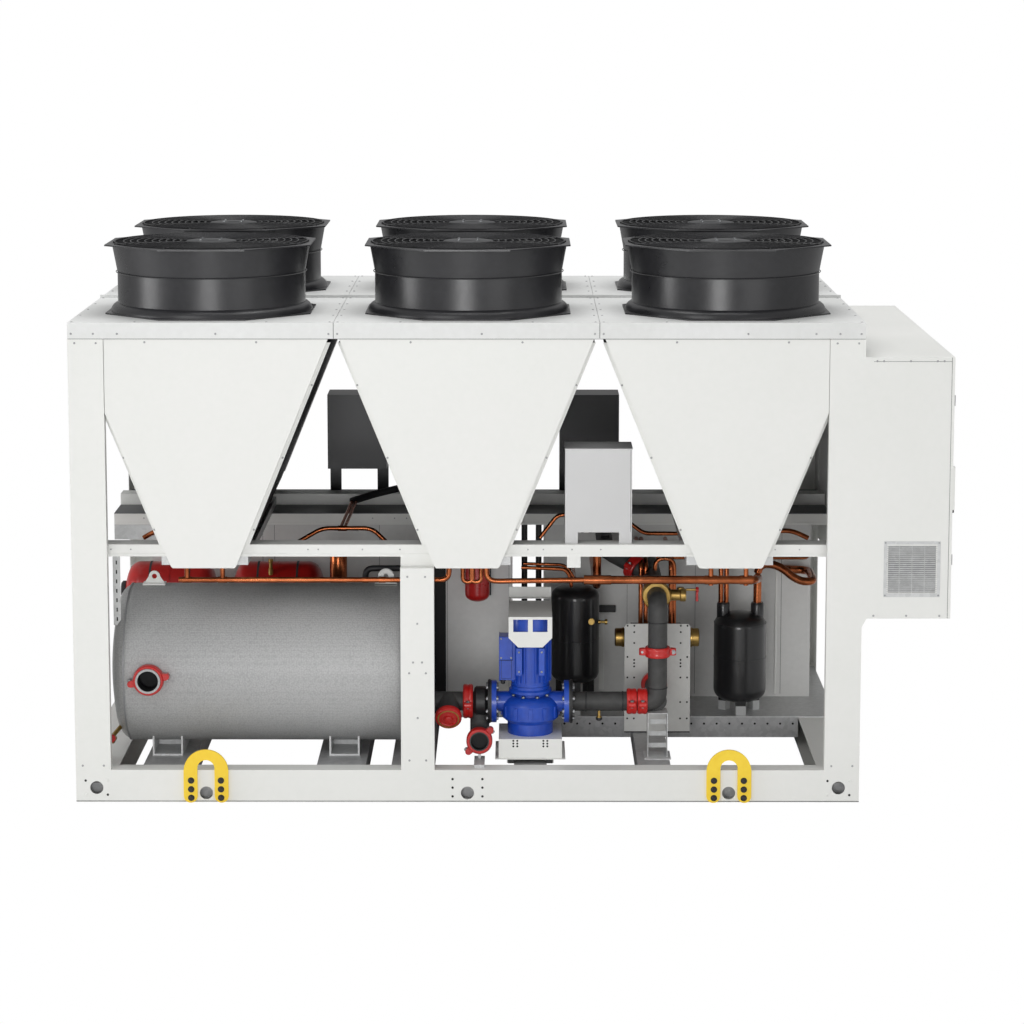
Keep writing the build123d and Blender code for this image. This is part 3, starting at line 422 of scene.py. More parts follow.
def legs_below(name, height, body, legs):
    """Vessel enamel above a height and pale zinc below it, for vessels on small brackets."""
    material, shader, coord = start(name)
    low = Wire(coord.tree, coord.node("ShaderNodeSeparateXYZ", Vector=coord).outputs[2]).ramp(height, height + 0.003)
    cloud = noise(coord, 3.0)
    link(shader, Base_Color=low.blend(legs, body), Roughness=cloud * 0.12 + 0.24, Coat_Weight=0.3,
         Normal=bump(noise(coord, 180.0), 0.0002))
    return material


WHITE = coat("white_coat", rgb(229, 230, 226), rgb(234, 234, 231), (0.38, 0.5))
PLATE_GREY = coat("plate_grey", rgb(186, 186, 183), rgb(203, 203, 200), (0.35, 0.5), metal=0.2)
# Zinc sheet darkened with painted shade, for the compartment lid that lies in shade between the modules.
LID_SHADE_ZINC = coat("zinc_sheet_painted_shade", rgb(98, 99, 101), rgb(124, 125, 127), (0.45, 0.6), metal=0.3)
ROOF_WHITE = coat("roof_coat", rgb(218, 219, 217), rgb(230, 231, 230), (0.4, 0.55), cloud=2.2)
INNER_GREY = coat("inner_grey_coat", rgb(208, 208, 206), rgb(222, 222, 220), (0.4, 0.55))
BOX_GREY = coat("box_grey_coat", rgb(200, 200, 201), rgb(214, 214, 215), (0.3, 0.42), metal=0.2)
# Control box grey with painted shade: the same grey, darkened on the back row.
SHADED_BOX_GREY = back_row_shade("box_grey_back_row_shade", rgb(193, 193, 193), rgb(58, 58, 60))
ZINC = galvanised("zinc_spangle", rgb(168, 169, 170), rgb(196, 196, 197))
PALE_ZINC = galvanised("pale_zinc", rgb(190, 191, 191), rgb(212, 213, 213), 0.3)
SHROUD = coat("fan_moulding", rgb(34, 34, 36), rgb(46, 46, 49), (0.26, 0.36), cloud=3.0,
              peel=240.0, streak=(1, 1, 0.25), specular=0.6)
BLADES = coat("fan_blade_moulding", rgb(24, 24, 26), rgb(38, 38, 40), (0.4, 0.5))
WIRES = coat("wire_coat", rgb(22, 22, 24), rgb(40, 40, 43), (0.35, 0.45))
MOTOR = coat("motor_casting", rgb(66, 68, 70), rgb(96, 98, 100), (0.4, 0.55), metal=0.5, peel=90.0)
HUB = coat("guard_hub", rgb(38, 39, 41), rgb(58, 59, 61), (0.35, 0.5), metal=0.4)
FINS = waves("coil_fins", rgb(14, 14, 15), rgb(50, 50, 53), 1, 0.008, 0.45, 0.35, 0.002)
JACKET = embossed("tank_jacket", rgb(150, 151, 151), rgb(184, 184, 184))
JACKET_EDGE = coat("jacket_edge", rgb(120, 121, 123), rgb(160, 161, 162), (0.4, 0.6), metal=0.3)
RED = coat("red_enamel", rgb(168, 22, 20), rgb(206, 38, 34), (0.25, 0.38), peel=70.0, depth=0.0004,
           varnish=0.25)
BLUE = coat("blue_enamel", rgb(14, 50, 150), rgb(28, 80, 192), (0.25, 0.4), peel=60.0, depth=0.0006,
            varnish=0.25)
YELLOW = coat("yellow_enamel", rgb(246, 204, 36), rgb(253, 220, 62), (0.35, 0.48), peel=80.0)
BLACK = coat("black_enamel", rgb(26, 26, 28), rgb(44, 44, 46), (0.24, 0.36), varnish=0.3)
VESSEL = legs_below("vessel_enamel", 0.2, rgb(34, 34, 36), rgb(196, 197, 197))
FOAM = coat("pipe_insulation", rgb(56, 56, 56), rgb(78, 78, 77), (0.42, 0.6), cloud=6.0, peel=120.0,
            depth=0.0008, specular=0.3)
COPPER = coat("copper_tube", rgb(122, 60, 34), rgb(196, 116, 74), (0.14, 0.3), metal=1.0, cloud=7.0)
BRASS = coat("brass_fitting", rgb(150, 118, 62), rgb(206, 174, 106), (0.25, 0.4), metal=1.0, cloud=9.0)
STEEL = coat("zinc_bolts", rgb(120, 122, 125), rgb(176, 178, 180), (0.28, 0.4), metal=0.9, cloud=12.0)
SCREW = coat("white_zinc_screw", rgb(150, 151, 152), rgb(186, 187, 188), (0.35, 0.5), metal=0.3)
# Painted shade for the insides of holes, bores, slots and narrow gaps.
RECESS_SHADE = coat("painted_recess_shade", rgb(14, 14, 15), rgb(26, 26, 27), (0.6, 0.8))
SHADE = coat("shadow_gap", rgb(58, 58, 60), rgb(78, 78, 80), (0.6, 0.8))
PLASTIC = coat("black_plastic", rgb(20, 20, 22), rgb(36, 36, 38), (0.4, 0.5))
print("finishes", len(bpy.data.materials))

# %% [markdown]
# ## Dressing the CAD nodes
# Every node keeps its shape and gets one of the finishes. A table of name beginnings is
# enough, because alike nodes share a beginning.

# %% Finishes for the nodes
NODE_FINISH = {
    "roof_": ROOF_WHITE, "v_panel": WHITE, "corner_posts": WHITE, "base_rails": WHITE,
    "centre_posts": WHITE, "electrical_cabinet": WHITE, "cabinet_door": WHITE,
    "cabinet_vent": PALE_ZINC, "deck_rails": WHITE, "compartment_lid": LID_SHADE_ZINC,
    "drip_trays": PALE_ZINC, "coil_end_plates": WHITE, "coil_pair": FINS, "base_crossbeams": ZINC,
    "middle_beams": ZINC, "machine_shelf": PALE_ZINC, "fan_shroud": SHROUD, "fan_guards": WIRES,
    "fan_motors": MOTOR, "fan_impeller": BLADES, "control_boxes": SHADED_BOX_GREY,
    "storage_tank": JACKET, "tank_saddles": PALE_ZINC, "tank_eyes": WHITE,
    "expansion_vessels": RED, "vessel_stand": WHITE, "pump_casing": BLUE, "pump_motor": BLUE,
    "pump_stand": WHITE, "pump_hood": WHITE, "water_pipes": FOAM, "pipe_couplings": RED,
    "pipe_supports": PALE_ZINC, "heat_exchanger": BLACK, "refrigerant_vessels": VESSEL,
    "compressor_housings": INNER_GREY, "copper_pipes": COPPER, "insulated_pipes": FOAM,
    "lifting_lugs": YELLOW,
}
for name, node in nodes.items():
    finish = next(f for key, f in NODE_FINISH.items() if name.startswith(key))
    node.data.materials.clear()
    node.data.materials.append(finish)
    node.data.polygons.foreach_set("use_smooth", np.ones(len(node.data.polygons), bool))
    node.data.set_sharp_from_angle(angle=radians(28))
print("dressed", len(nodes), "nodes")

# %% [markdown]
# ## From arrays to a piece
# A piece is a mesh in metres that rides on a CAD body. Doubled points are merged and the
# faces turned outward, so poles and seams close and a bevel can round the edges.

# %% Making a piece
count = {"pieces": 0, "faces": 0}


def piece(name, shape, finish, body="unit", bevel=0.0, stands_for=(), angle=35):
    """Turns a shape in millimetres into a riding object with a finish."""
    verts, faces = shape
    mesh = bpy.data.meshes.new(name)
    mesh.from_pydata((verts / 1000 + ORIGIN).tolist(), [], faces)
    bm = bmesh.new()
    bm.from_mesh(mesh)
    bmesh.ops.remove_doubles(bm, verts=bm.verts, dist=2e-5)
    bmesh.ops.recalc_face_normals(bm, faces=bm.faces)
    bm.to_mesh(mesh)
    bm.free()
    mesh.polygons.foreach_set("use_smooth", np.ones(len(mesh.polygons), bool))
    mesh.set_sharp_from_angle(angle=radians(angle))
    mesh.materials.append(finish)
    made = bpy.data.objects.new(name, mesh)
    bpy.context.scene.collection.objects.link(made)
    if bevel:
        edge = made.modifiers.new("edge", "BEVEL")
        edge.width, edge.segments, edge.limit_method = bevel / 1000, 2, "ANGLE"
        edge.angle_limit = radians(50)
    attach(made, body)
    if stands_for:
        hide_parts(*stands_for)
    count["pieces"] += 1
    count["faces"] += len(mesh.polygons)
    return made


# %% [markdown]
# ## Fan guards
# The guard of a roof fan is a flat spider of round wire: rings that grow evenly, welded on
# straight spokes, round a plate that carries the motor. Rings are tubes along circles.

# %% Guards, hub plates and rims
def wire_ring(radius, z, wire, steps=72, sides=6):
    """Closed round wire along a circle."""
    flat = circle(radius, steps)
    return tube(np.column_stack([flat, np.full(steps, z)]), wire, sides, closed=True)


top = ROOF + FAN_HEIGHT
rings = merge(*[wire_ring(r, top + 4.5, 2.6) for r in (142, 175, 208, 240, 272, 306, 340, 372, 403, 444)])
spokes = merge(*[turned(tube([(110, 0, top + 1.5), (462, 0, top + 1.5)], 3.4, 8), 22.5 + 45 * n)
                 for n in range(8)])
piece("guard_wires", stamp(merge(rings, spokes), [(x, y, 0) for x, y in FANS]), WIRES,
      stands_for=("fan_guards",))
plate_profile = [(0, 9), (30, 9), (34, 7), (100, 7), (112, 5), (118, 0), (92, 0), (0, 0)]
hubs = moved(lathe(plate_profile, 40), (0, 0, top))
hub_bolts = stamp(bolt(6), [(*p, top + 7) for p in circle(62, 4, pi / 4)])
piece("guard_hub_plates", stamp(hubs, [(x, y, 0) for x, y in FANS]), HUB)
piece("guard_hub_bolts", stamp(hub_bolts, [(x, y, 0) for x, y in FANS]), STEEL)
rim = wire_ring(460, top - 3, 4.5, 96, 8)
waist = wire_ring(439, ROOF + 184, 2.2, 96, 6)
piece("shroud_rims", stamp(merge(rim, waist), [(x, y, 0) for x, y in FANS]), SHROUD)
print(count)

# %% [markdown]
# ## Screws on the sheet metal
# Panels on such a unit are held by rows of small screws. Their rhythm is regular, so a row
# is a list of places and one stamped head.

# %% Fascia, panel and cabinet screws
head = facing(screw(5), "front")
row = [(x + n * PITCH, 0, 2150) for n in range(3) for x in (17, 663, 1168)]
row += [(116, 0, 2150), (223, 0, 2150), (LENGTH - 116, 0, 2150), (LENGTH - 223, 0, 2150)]
row += [(x + s * 250, 2, 2112) for x in MODULES for s in (-1, 1)]
row += [(x, 0, z) for x in (32, 128, LENGTH - 128, LENGTH - 32) for z in (170, 2108)]
row += [(1515, 0, 1046), (1595, 0, 1046), (1559, 0, 830), (1539, 0, 651), (1580, 0, 651), (1521, 0, 601),
        (1597, 0, 601), (1559, 0, 393), (1521, 0, 195), (1597, 0, 195)]
strips = [(x + s * (v_half(z) + 10), 55, z) for x in MODULES for s in (-1, 1) for z in (1912, 1582, 1252)]
strips = [p for p in strips if 165 < p[0] < LENGTH - 165]
piece("sheet_screws", both(stamp(head, row + strips)), SCREW)
cabinet_row = [(x, 0, 2028) for x in (3621, 3651, 3771, 3891, 3921)]
cabinet_row += [(x, 0, 868) for x in (3622, 3770, 3920)]
piece("cabinet_screws", both(stamp(head, cabinet_row)), SCREW)
lid_head = screw(5.5)
roof_row = [(x + n * PITCH, y, ROOF) for n in range(3) for x in (18, 300, 890, 1172)
            for y in (24, 1070)]
roof_row += [(x + n * PITCH, y, ROOF) for n in range(3) for x in (18, 1172) for y in (300, 550, 800)]
piece("roof_screws", both(stamp(lid_head, roof_row)), SCREW)
print(count)

# %% [markdown]
# ## The base frame's bolts and holes
# The long rails have drilled groups round every lifting hole, and each yellow lug is held by
# three bolts a leg. The CAD has the large holes; the small ones are discs on the face, painted with the shade inside a
# hole.

# %% Base rails and lugs
HOLE = facing(disc(5.5), "front")
lift_x = [594, LENGTH - 594]
lug_bolts = [(x + s * 68, -12, z) for x in lift_x for s in (-1, 1) for z in (104, 63, 23)]
piece("lug_bolts", both(stamp(facing(bolt(11), "front"), lug_bolts)), PLASTIC)
group = [(s * 68, 0, z) for s in (-1, 1) for z in (27, 68, 108)]
rail_holes = [(LENGTH / 2 + x, y, z) for x, y, z in group]
rail_holes += [(x + s * 50, 0, 67 - s * 33) for x in (94, LENGTH - 94) for s in (-1, 1)]
# The rail holes are discs of painted shade.
piece("rail_bolt_holes", both(stamp(HOLE, rail_holes)), RECESS_SHADE)
corner_bolts = [(x + s * 50, 0, 67 + s * 33) for x in (94, LENGTH - 94) for s in (-1, 1)]
piece("rail_corner_bolts", both(stamp(facing(screw(6), "front"), corner_bolts)), WHITE)
backing = [block((x - 62, 70, 5), (x + 62, 73, 145)) for x in (594, LENGTH / 2, LENGTH - 594)]
backing += [block((x - 62, 70, 5), (x + 62, 73, 72)) for x in (94, LENGTH - 94)]
piece("rail_backing_plates", both(merge(*backing)), ZINC)
foot_line = block((0, -0.8, 3), (LENGTH, 0.4, 6))
piece("rail_foot_lines", both(foot_line), SHADE)
# The beam holes are discs of painted shade.
beam_holes = [(x, 1006, 118) for x in range(2180, 3380, 62)]
piece("middle_beam_holes", stamp(HOLE, beam_holes), RECESS_SHADE)
deck_holes = [(x, 63, 1160) for x in (170, 260, 1063, 1110, 1310, 1480, 2060, 2130, 2260, 2390, 3180, 3290)]
deck_holes += [(x, 1422, 1062) for x in (150, 200, 1290, 1400, 1460, 2480, 2560, 3300)]
piece("deck_rail_screws", stamp(facing(screw(3.6), "front"), deck_holes), SCREW)
print(count)

# %% [markdown]
# ## The vent and the cabinet
# The louvre plate is a frame with many thin tilted blades. Each blade is one slanted strip,
# stamped up the opening. The CAD plate behind them is replaced, because its slots are wide.

# %% Vent, hinges and cabinet seams
vent_x, vent_z, vent = LENGTH + 95, 955, 255
frame_bar = [block((vent_x, -2, vent_z), (vent_x + vent, 0, vent_z + 14)),
             block((vent_x, -2, vent_z + vent - 14), (vent_x + vent, 0, vent_z + vent)),
             block((vent_x, -2, vent_z + 14), (vent_x + 14, 0, vent_z + vent - 14)),
             block((vent_x + vent - 14, -2, vent_z + 14), (vent_x + vent, 0, vent_z + vent - 14))]
slat = plate([(-1.5, 0), (2.2, 6.5), (3.2, 6.0), (-0.5, -0.5)], vent_x + 14, vent - 28, "x")
slats = stamp(slat, [(0, 0, vent_z + 14 + 9.45 * n) for n in range(24)])
posts = [block((vent_x + 14 + f * (vent - 28) - 1.5, 1, vent_z + 14), (vent_x + 14 + f * (vent - 28) + 1.5, 3, vent_z + vent - 14))
         for f in (0.25, 0.5, 0.75)]
back_sheet = block((vent_x + 10, 3, vent_z + 10), (vent_x + vent - 10, 4, vent_z + vent - 10))
piece("cabinet_vent_louvres", merge(*frame_bar, slats, *posts), PALE_ZINC,
      stands_for=("cabinet_vent",), bevel=0)
# The sheet behind the louvres is painted shade, the dark that shows between the slats.
piece("cabinet_vent_back_shade", back_sheet, SHADE)
vent_heads = [(vent_x + a, -2, vent_z + b) for a in (7, vent - 7) for b in (7, vent - 7)]
piece("cabinet_vent_screws", stamp(facing(screw(4), "front"), vent_heads), STEEL)
end_x = LENGTH + 400
hinge = turned(lathe([(0, 0), (6, 0), (6.5, 2), (6.5, 46), (6, 48), (0, 48)], 16), 0)
hinges = [(end_x - 1, y, z) for y in (14, DEPTH - 14) for z in (1100, 1825)]
piece("cabinet_hinges", stamp(hinge, hinges), STEEL)
seam = merge(block((end_x - 14.8, -0.7, 856), (end_x - 13.2, 0.4, 2044)),
             block((LENGTH + 36, -0.7, 2026), (LENGTH + 386, 0.4, 2027.4)))
piece("cabinet_seams", both(seam), SHADE)
handle = merge(block((end_x + 1, 6, 1360), (end_x + 9.5, 36, 1540)),
               moved(lathe([(0, 0), (9, 0), (9, 4), (6, 7), (0, 7)], 20, "x"), (end_x + 2, 21, 1345)))
piece("cabinet_door_latch", handle, PLASTIC, bevel=2)
print(count)

# %% [markdown]
# ## Seams and lids of the sheet-metal boxes
# A box of folded sheet shows its lid by a thin shadow line, a fold and a screw at each
# corner. The lines are slim strips that stand a little proud, dark as the gap they show.

# %% Control boxes, roof seams and fascia lines
def lid_lines(x0, x1, y, z0, z1, inset=9, wide=1.6):
    """Four thin strips that draw the outline of a lid on a front face."""
    a, b, c, d = x0 + inset, x1 - inset, z0 + inset, z1 - inset
    return merge(block((a, y - 0.7, c), (b, y + 0.3, c + wide)), block((a, y - 0.7, d), (b, y + 0.3, d - wide)),
                 block((a, y - 0.7, c), (a + wide, y + 0.3, d)), block((b, y - 0.7, c), (b - wide, y + 0.3, d)))


box_x0, box_x1, box_y, box_z0, box_z1 = 2 * PITCH - 151.5, 2 * PITCH + 151.5, 90, 1234, 1617
edge_line = block((box_x1 - 7, box_y - 0.6, box_z0 + 3), (box_x1 - 5.4, box_y + 0.3, box_z1 - 4))
piece("control_box_edge_line", edge_line, SHADE)
piece("control_box_tab", block((2237, 63, 1076), (2299, 66, 1129)), WHITE, bevel=1)
hood_top = block((box_x0 - 3, box_y - 5, box_z1 - 3), (box_x1 + 3, box_y + 206, box_z1 + 2))
piece("control_box_cap", hood_top, BOX_GREY, bevel=1.5)
gland = lathe([(0, 0), (13, 0), (13, -6), (9, -8), (9, -20), (5, -22), (0, -22)], 16)
glands = [(box_x0 + 80 + 36 * n, box_y + 110, box_z0) for n in range(5)]
piece("control_box_glands", stamp(gland, glands), PLASTIC)
fascia = [block((n * PITCH - 1.2, -0.6, 2130), (n * PITCH + 1.2, 0.3, 2199)) for n in (1, 2)]
piece("fascia_seams", both(merge(*fascia)), SHADE)
line = block((3, -0.5, 2126), (LENGTH - 3, 0.4, 2128))
piece("fascia_foot_line", both(line), SHADE)
print(count)

# %% [markdown]
# ## The tank and its fittings
# The insulated jacket closes with a band at each end and a lap along its back. The grooved
# stub wears a two-part coupling: a ribbed ring with two bolted ears.

# %% Tank bands, eyes, drain and couplings
def band(x, y, z, radius, width, proud=1.2):
    """Thin hoop round a body that lies along X."""
    profile = [(radius - 1, -width / 2), (radius + proud, -width / 2), (radius + proud, width / 2),
               (radius - 1, width / 2), (radius - 1, -width / 2)]
    return moved(lathe(profile, 96, "x"), (x, y, z))


piece("tank_jacket_bands", merge(band(212, TANK_Y, TANK_Z, TANK_R, 7), band(1480, TANK_Y, TANK_Z, TANK_R, 7)),
      JACKET_EDGE)


def coupling(bore, radius, width, ear):
    """Grooved coupling along Z: two raised edges, a hollow between, and bolted ears."""
    h = width / 2
    ring = lathe([(bore, -h), (radius * 0.93, -h), (radius, -h * 0.7), (radius, -h * 0.35), (radius * 0.96, 0),
                  (radius, h * 0.35), (radius, h * 0.7), (radius * 0.93, h), (bore, h), (bore, -h)], 48)
    t = np.linspace(-pi / 2, pi / 2, 9)
    round_end = np.stack([radius + ear - 15 + 15 * np.cos(t), 15 * np.sin(t)], -1)
    lug = np.concatenate([round_end, [(radius - 12, 17), (radius - 12, -17)]])
    ears = plate(lug, -h * 0.7, width * 0.7, "z")
    nut = moved(facing(bolt(8), "front"), (radius + ear - 14, -14, 0))
    rod = moved(lathe([(0, 0), (6, 0), (6, 34), (0, 34)], 12, "y"), (radius + ear - 14, -18, 0))
    body = merge(ring, ears, turned(ears, 180))
    return body, merge(nut, rod, turned(merge(nut, rod), 180))


reds, bolts = [], []
small, small_bolts = coupling(44.9, 60, 46, 26)
large, large_bolts = coupling(57.4, 70, 50, 28)
joints = [(small, small_bolts, [(90, "z"), (90, "y")], (x, PUMP_Y, PIPE_Z)) for x in (2542, 2591)]
wide, wide_bolts = coupling(44.9, 80, 46, 20)
joints += [(wide, wide_bolts, [(90, "z"), (90, "y")], (1784, PUMP_Y, PIPE_Z))]
joints += [(small, small_bolts, [], (2661, PUMP_Y, 640)),
           (small, small_bolts, [(45, "z"), (90, "x")], (1838, 132, 255)),
           (large, large_bolts, [(12, "z"), (90, "x")], (331, 56, TANK_Z))]
for body, pins, turns, where in joints:
    for angle, axis in turns:
        body, pins = turned(body, angle, axis), turned(pins, angle, axis)
    reds.append(moved(body, where))
    bolts.append(moved(pins, where))
tilt = 90 + np.degrees(np.arctan2(45, 95))
cap = lathe([(50, -14), (55, -14), (61, -8), (61, 10), (57, 16), (40, 18), (36, 14), (20, 14), (17, 26), (0, 28)], 40)
cap = moved(turned(cap, tilt, "x"), (1695, PUMP_Y - 104, PIPE_Z - 49))
piece("grooved_couplings", merge(*reds, cap), RED, stands_for=("pipe_couplings",), bevel=1.5)
piece("coupling_bolts", merge(*bolts), STEEL)
ring = lathe([(44, 15), (50, 15), (50, 19), (44, 19), (44, 15)], 40)
ring = moved(turned(ring, tilt, "x"), (1695, PUMP_Y - 104, PIPE_Z - 49))
piece("strainer_seal", ring, BRASS)
# The open bores are cups of painted shade inside the pipe ends.
bore = moved(lathe([(47.4, 0), (46.4, 0), (46.4, 98), (0, 98), (0, 99.4), (47.4, 99.4)], 40, "y"), (331, 25, TANK_Z))
inlet = moved(lathe([(39.9, 0), (38.9, 0), (38.9, 37), (0, 37), (0, 39), (39.9, 39)], 40, "y"), (1838, 111, 255))
piece("open_pipe_bores", merge(bore, inlet), RECESS_SHADE)
valve = merge(moved(lathe([(0, 0), (14, 0), (14, 22), (10, 26), (10, 62), (0, 62)], 18, "y"), (150, 120, 268)),
              tube(bent([(150, 150, 268), (150, 150, 240), (150, 240, 240)], 20), 9),
              tube([(150, 170, 268), (215, 330, 330)], 10))
piece("tank_drain_valve", valve, BRASS, bevel=1)
knob = lathe([(0, 0), (17, 0), (19, 3), (19, 10), (15, 13), (0, 13)], 12, "y")
piece("tank_drain_knob", moved(knob, (150, 107, 268)), RED, bevel=1)
print(count)

# %% [markdown]
# ## The pump
# The casting is cleaned up by its details: a ring of bolts under the motor, ribs round the
# belt, four flanges with bolts right through, a lid on the terminal box. Each ring of bolts
# is one head placed on a circle.

# %% Pump bolts, ribs and terminal box
def ring_of(shape, radius, number, start_angle, centre, way):
    """Copies of a part on a circle whose axis is X, Y or Z."""
    a, b = circle(radius, number, start_angle).T
    zero = a * 0
    flat = {"x": (zero, a, b), "y": (a, zero, b), "z": (a, b, zero)}[way]
    return stamp(shape, np.stack(flat, -1) + np.array(centre))


motor_z = 488
casing_bolts = ring_of(bolt(8), 84, 8, pi / 8, (PUMP_X, PUMP_Y, 438), "z")
foot_bolts = ring_of(bolt(7), 104, 8, 0, (PUMP_X, PUMP_Y, 402), "z")
nut_left = facing(bolt(10), "left")
nut_right = facing(bolt(10), "right")
flange_nuts = [ring_of(nut_right, 78, 8, pi / 8, (PUMP_X - 156, PUMP_Y, PIPE_Z), "x"),
               ring_of(nut_left, 78, 8, pi / 8, (PUMP_X + 156, PUMP_Y, PIPE_Z), "x"),
               ring_of(nut_left, 78, 8, pi / 8, (PUMP_X - 196, PUMP_Y, PIPE_Z), "x"),
               ring_of(nut_right, 78, 8, pi / 8, (PUMP_X + 196, PUMP_Y, PIPE_Z), "x")]
piece("pump_bolts", merge(casing_bolts, foot_bolts, *flange_nuts), STEEL)
rib = block((120, -9, 342), (137, 9, 396))
ribs = [moved(turned(rib, 30 * n), (PUMP_X, PUMP_Y, 0)) for n in range(12)]
web = plate([(72, 440), (112, 404), (118, 404), (118, 398), (72, 398)], -4, 8)
webs = [moved(turned(web, 45 * n), (PUMP_X, PUMP_Y, 0)) for n in range(8)]
collar = lathe([(76, 452), (96, 452), (99, 455), (99, 466), (90, 474), (90, 487), (76, 487)], 48)
piece("pump_ribs", merge(*ribs, *webs, moved(collar, (PUMP_X, PUMP_Y, 0))), BLUE, bevel=1.5)
cowl = lathe([(97, 728), (101, 730), (101, 744), (98, 746), (98, 806), (92, 816), (80, 820.5), (0, 820.5)], 48)
pads = [block((PUMP_X + s * 52 - 14, PUMP_Y - 101, 548), (PUMP_X + s * 52 + 14, PUMP_Y - 84, 676)) for s in (-1, 1)]
piece("motor_cowl_and_pads", merge(moved(cowl, (PUMP_X, PUMP_Y, 0)), *pads), BLUE, bevel=2)
pad_heads = [(PUMP_X + s * 52, PUMP_Y - 101, z) for s in (-1, 1) for z in (566, 658)]
box_lid = lid_lines(1932, 1992, 225, 518, 718, 6, 1.4)
box_face = block((1929, 222, 612), (1990, 226, 721))
piece("terminal_box_lid", merge(box_face, block((1928, 222, 514), (1932.5, 338, 721))), BLUE, bevel=2)
# The lid's outline and seam are drawn in painted shade.
piece("terminal_box_seam", merge(box_lid, block((1931, 221.6, 610), (1992, 223, 612))), RECESS_SHADE)
pad_heads += [(x, 222, z) for x in (1937, 1984) for z in (622, 712)]
piece("motor_screws", stamp(facing(screw(5), "front"), pad_heads), STEEL)
gland = lathe([(0, 0), (13, 0), (14, 3), (14, 14), (10, 16), (10, 26), (7, 29), (0, 29)], 12)
piece("terminal_box_glands", stamp(facing(gland, "down"), [(1946, 262, 520), (1946, 300, 520)]), PLASTIC)
eye = moved(tube(np.column_stack([circle(13, 24)[:, 0], circle(13, 24)[:, 0] * 0, circle(13, 24)[:, 1]]), 3.5, 8, True),
            (PUMP_X, PUMP_Y - 90, 736))
piece("motor_lifting_eye", eye, STEEL)
# The stand's holes are discs of painted shade.
stool = [(PUMP_X + s * a, 130, z) for s in (-1, 1) for a in (60, 78) for z in (254, 241, 228)]
piece("pump_stand_holes", stamp(facing(disc(4.6), "front"), stool), RECESS_SHADE)
feet = [block((PUMP_X + s * 88 - 15, 118, 150.5), (PUMP_X + s * 88 + 15, 150, 169)) for s in (-1, 1)]
piece("pump_rubber_feet", merge(*feet), PLASTIC, bevel=2)
neck = moved(lathe([(0, 0), (12, 0), (12, 8), (7, 10), (7, 34), (0, 34)], 12, "z"), (2391, PUMP_Y, 326))
piece("pipe_sensor", neck, BRASS)
piece("pipe_sensor_cap", moved(lathe([(0, 0), (15, 0), (15, -10), (10, -14), (0, -14)], 16), (2391, PUMP_Y, 328)), PLASTIC)
seals = [moved(lathe([(80, 0), (101, 0), (102, 2), (102, 9), (101, 11), (80, 11), (80, 0)], 48, "x"), (x, PUMP_Y, PIPE_Z))
         for x in (PUMP_X - 195, PUMP_X + 184)]
valve_body = lathe([(44, 0), (62, 3), (70, 12), (70, 52), (62, 62), (44, 66), (44, 0)], 40, "x")
piece("flange_rings", merge(*seals, moved(valve_body, (1810, PUMP_Y, PIPE_Z))), PLASTIC)
print(count)

# %% [markdown]
# ## The heat exchanger and its pipes
# A drilled plate stands in front of the plate pack, with the brass ends of a water header on
# each side. Above it the riser passes through a valve. Copper tubes rise behind.

# %% Drilled plate, header ends and valve
ex0, ex1, ex_top = 2523, 2836, 681
t = np.linspace(0, pi / 2, 7)
corner_l = np.stack([ex0 + 18 - 18 * np.cos(t), ex_top - 18 + 18 * np.sin(t)], -1)
corner_r = np.stack([ex1 - 18 + 18 * np.sin(t), ex_top - 18 + 18 * np.cos(t)], -1)
outline = np.concatenate([[(ex0, 157)], corner_l, corner_r, [(ex1, 157)]])
piece("exchanger_front_plate", plate(outline, 697.5, 4, "y"), PLATE_GREY)
# The plate's holes are discs of painted shade.
rows = {672: (14, 46), 641: (46,), 588: (46,), 520: (14,), 506: (46,), 490: (46,), 474: (46,), 420: (14, 46), 300: (14, 46), 220: (14, 46)}
drilled = [(x, 697.5, z) for z, edges in rows.items() for e in edges for x in (ex0 + e, ex1 - e)]
piece("exchanger_plate_holes", stamp(facing(disc(4.6), "front"), drilled), RECESS_SHADE)
sleeve = lathe([(42.3, 0), (46, 0), (47, 3), (47, 10), (44, 13), (44, 40), (40, 44), (36, 45.5), (0, 45.5)], 36, "x")
ends = merge(moved(sleeve, (ex1, 760, 603)), moved((sleeve[0] * [-1, 1, 1], sleeve[1]), (ex0, 760, 603)))
body = lathe([(45, 0), (62, 0), (66, 4), (66, 20), (60, 24), (60, 46), (66, 50), (66, 66), (62, 70), (45, 70), (45, 0)], 40, "y")
side = lathe([(0, 0), (30, 0), (33, 3), (33, 14), (26, 18), (26, 58), (31, 62), (31, 84), (26, 88), (0, 88)], 24, "x")
stem = tube([(2800, 470, 893), (2852, 470, 893)], 6)
piece("brass_valve", merge(ends, moved(body, (2661, 420, 871)), moved(side, (2712, 455, 871)), stem,
                           moved(lathe([(0, 0), (17, 0), (17, 24), (0, 24)], 6), (2775, 470, 880))), BRASS, bevel=1)
piece("valve_lever", merge(block((2846, 462, 838), (2858, 478, 906)), moved(lathe([(0, 0), (13, 0), (13, 14), (0, 14)], 16, "x"), (2846, 470, 893))),
      RED, bevel=2.5)
run = [(2661, 900, 871), (2592, 900, 913), (2440, 960, 985), (2440, 1412, 985)]
piece("upper_branch_pipe", tube(bent(run, 60), 40, 20), FOAM)
tilted, tilted_bolts = turned(small, 90, "x"), turned(small_bolts, 90, "x")
tilted, tilted_bolts = [moved(turned(turned(q, 62, "z"), 28, "y"), (2572, 880, 922)) for q in (tilted, tilted_bolts)]
piece("upper_coupling", tilted, RED, bevel=1.5)
piece("upper_coupling_bolts", tilted_bolts, STEEL)
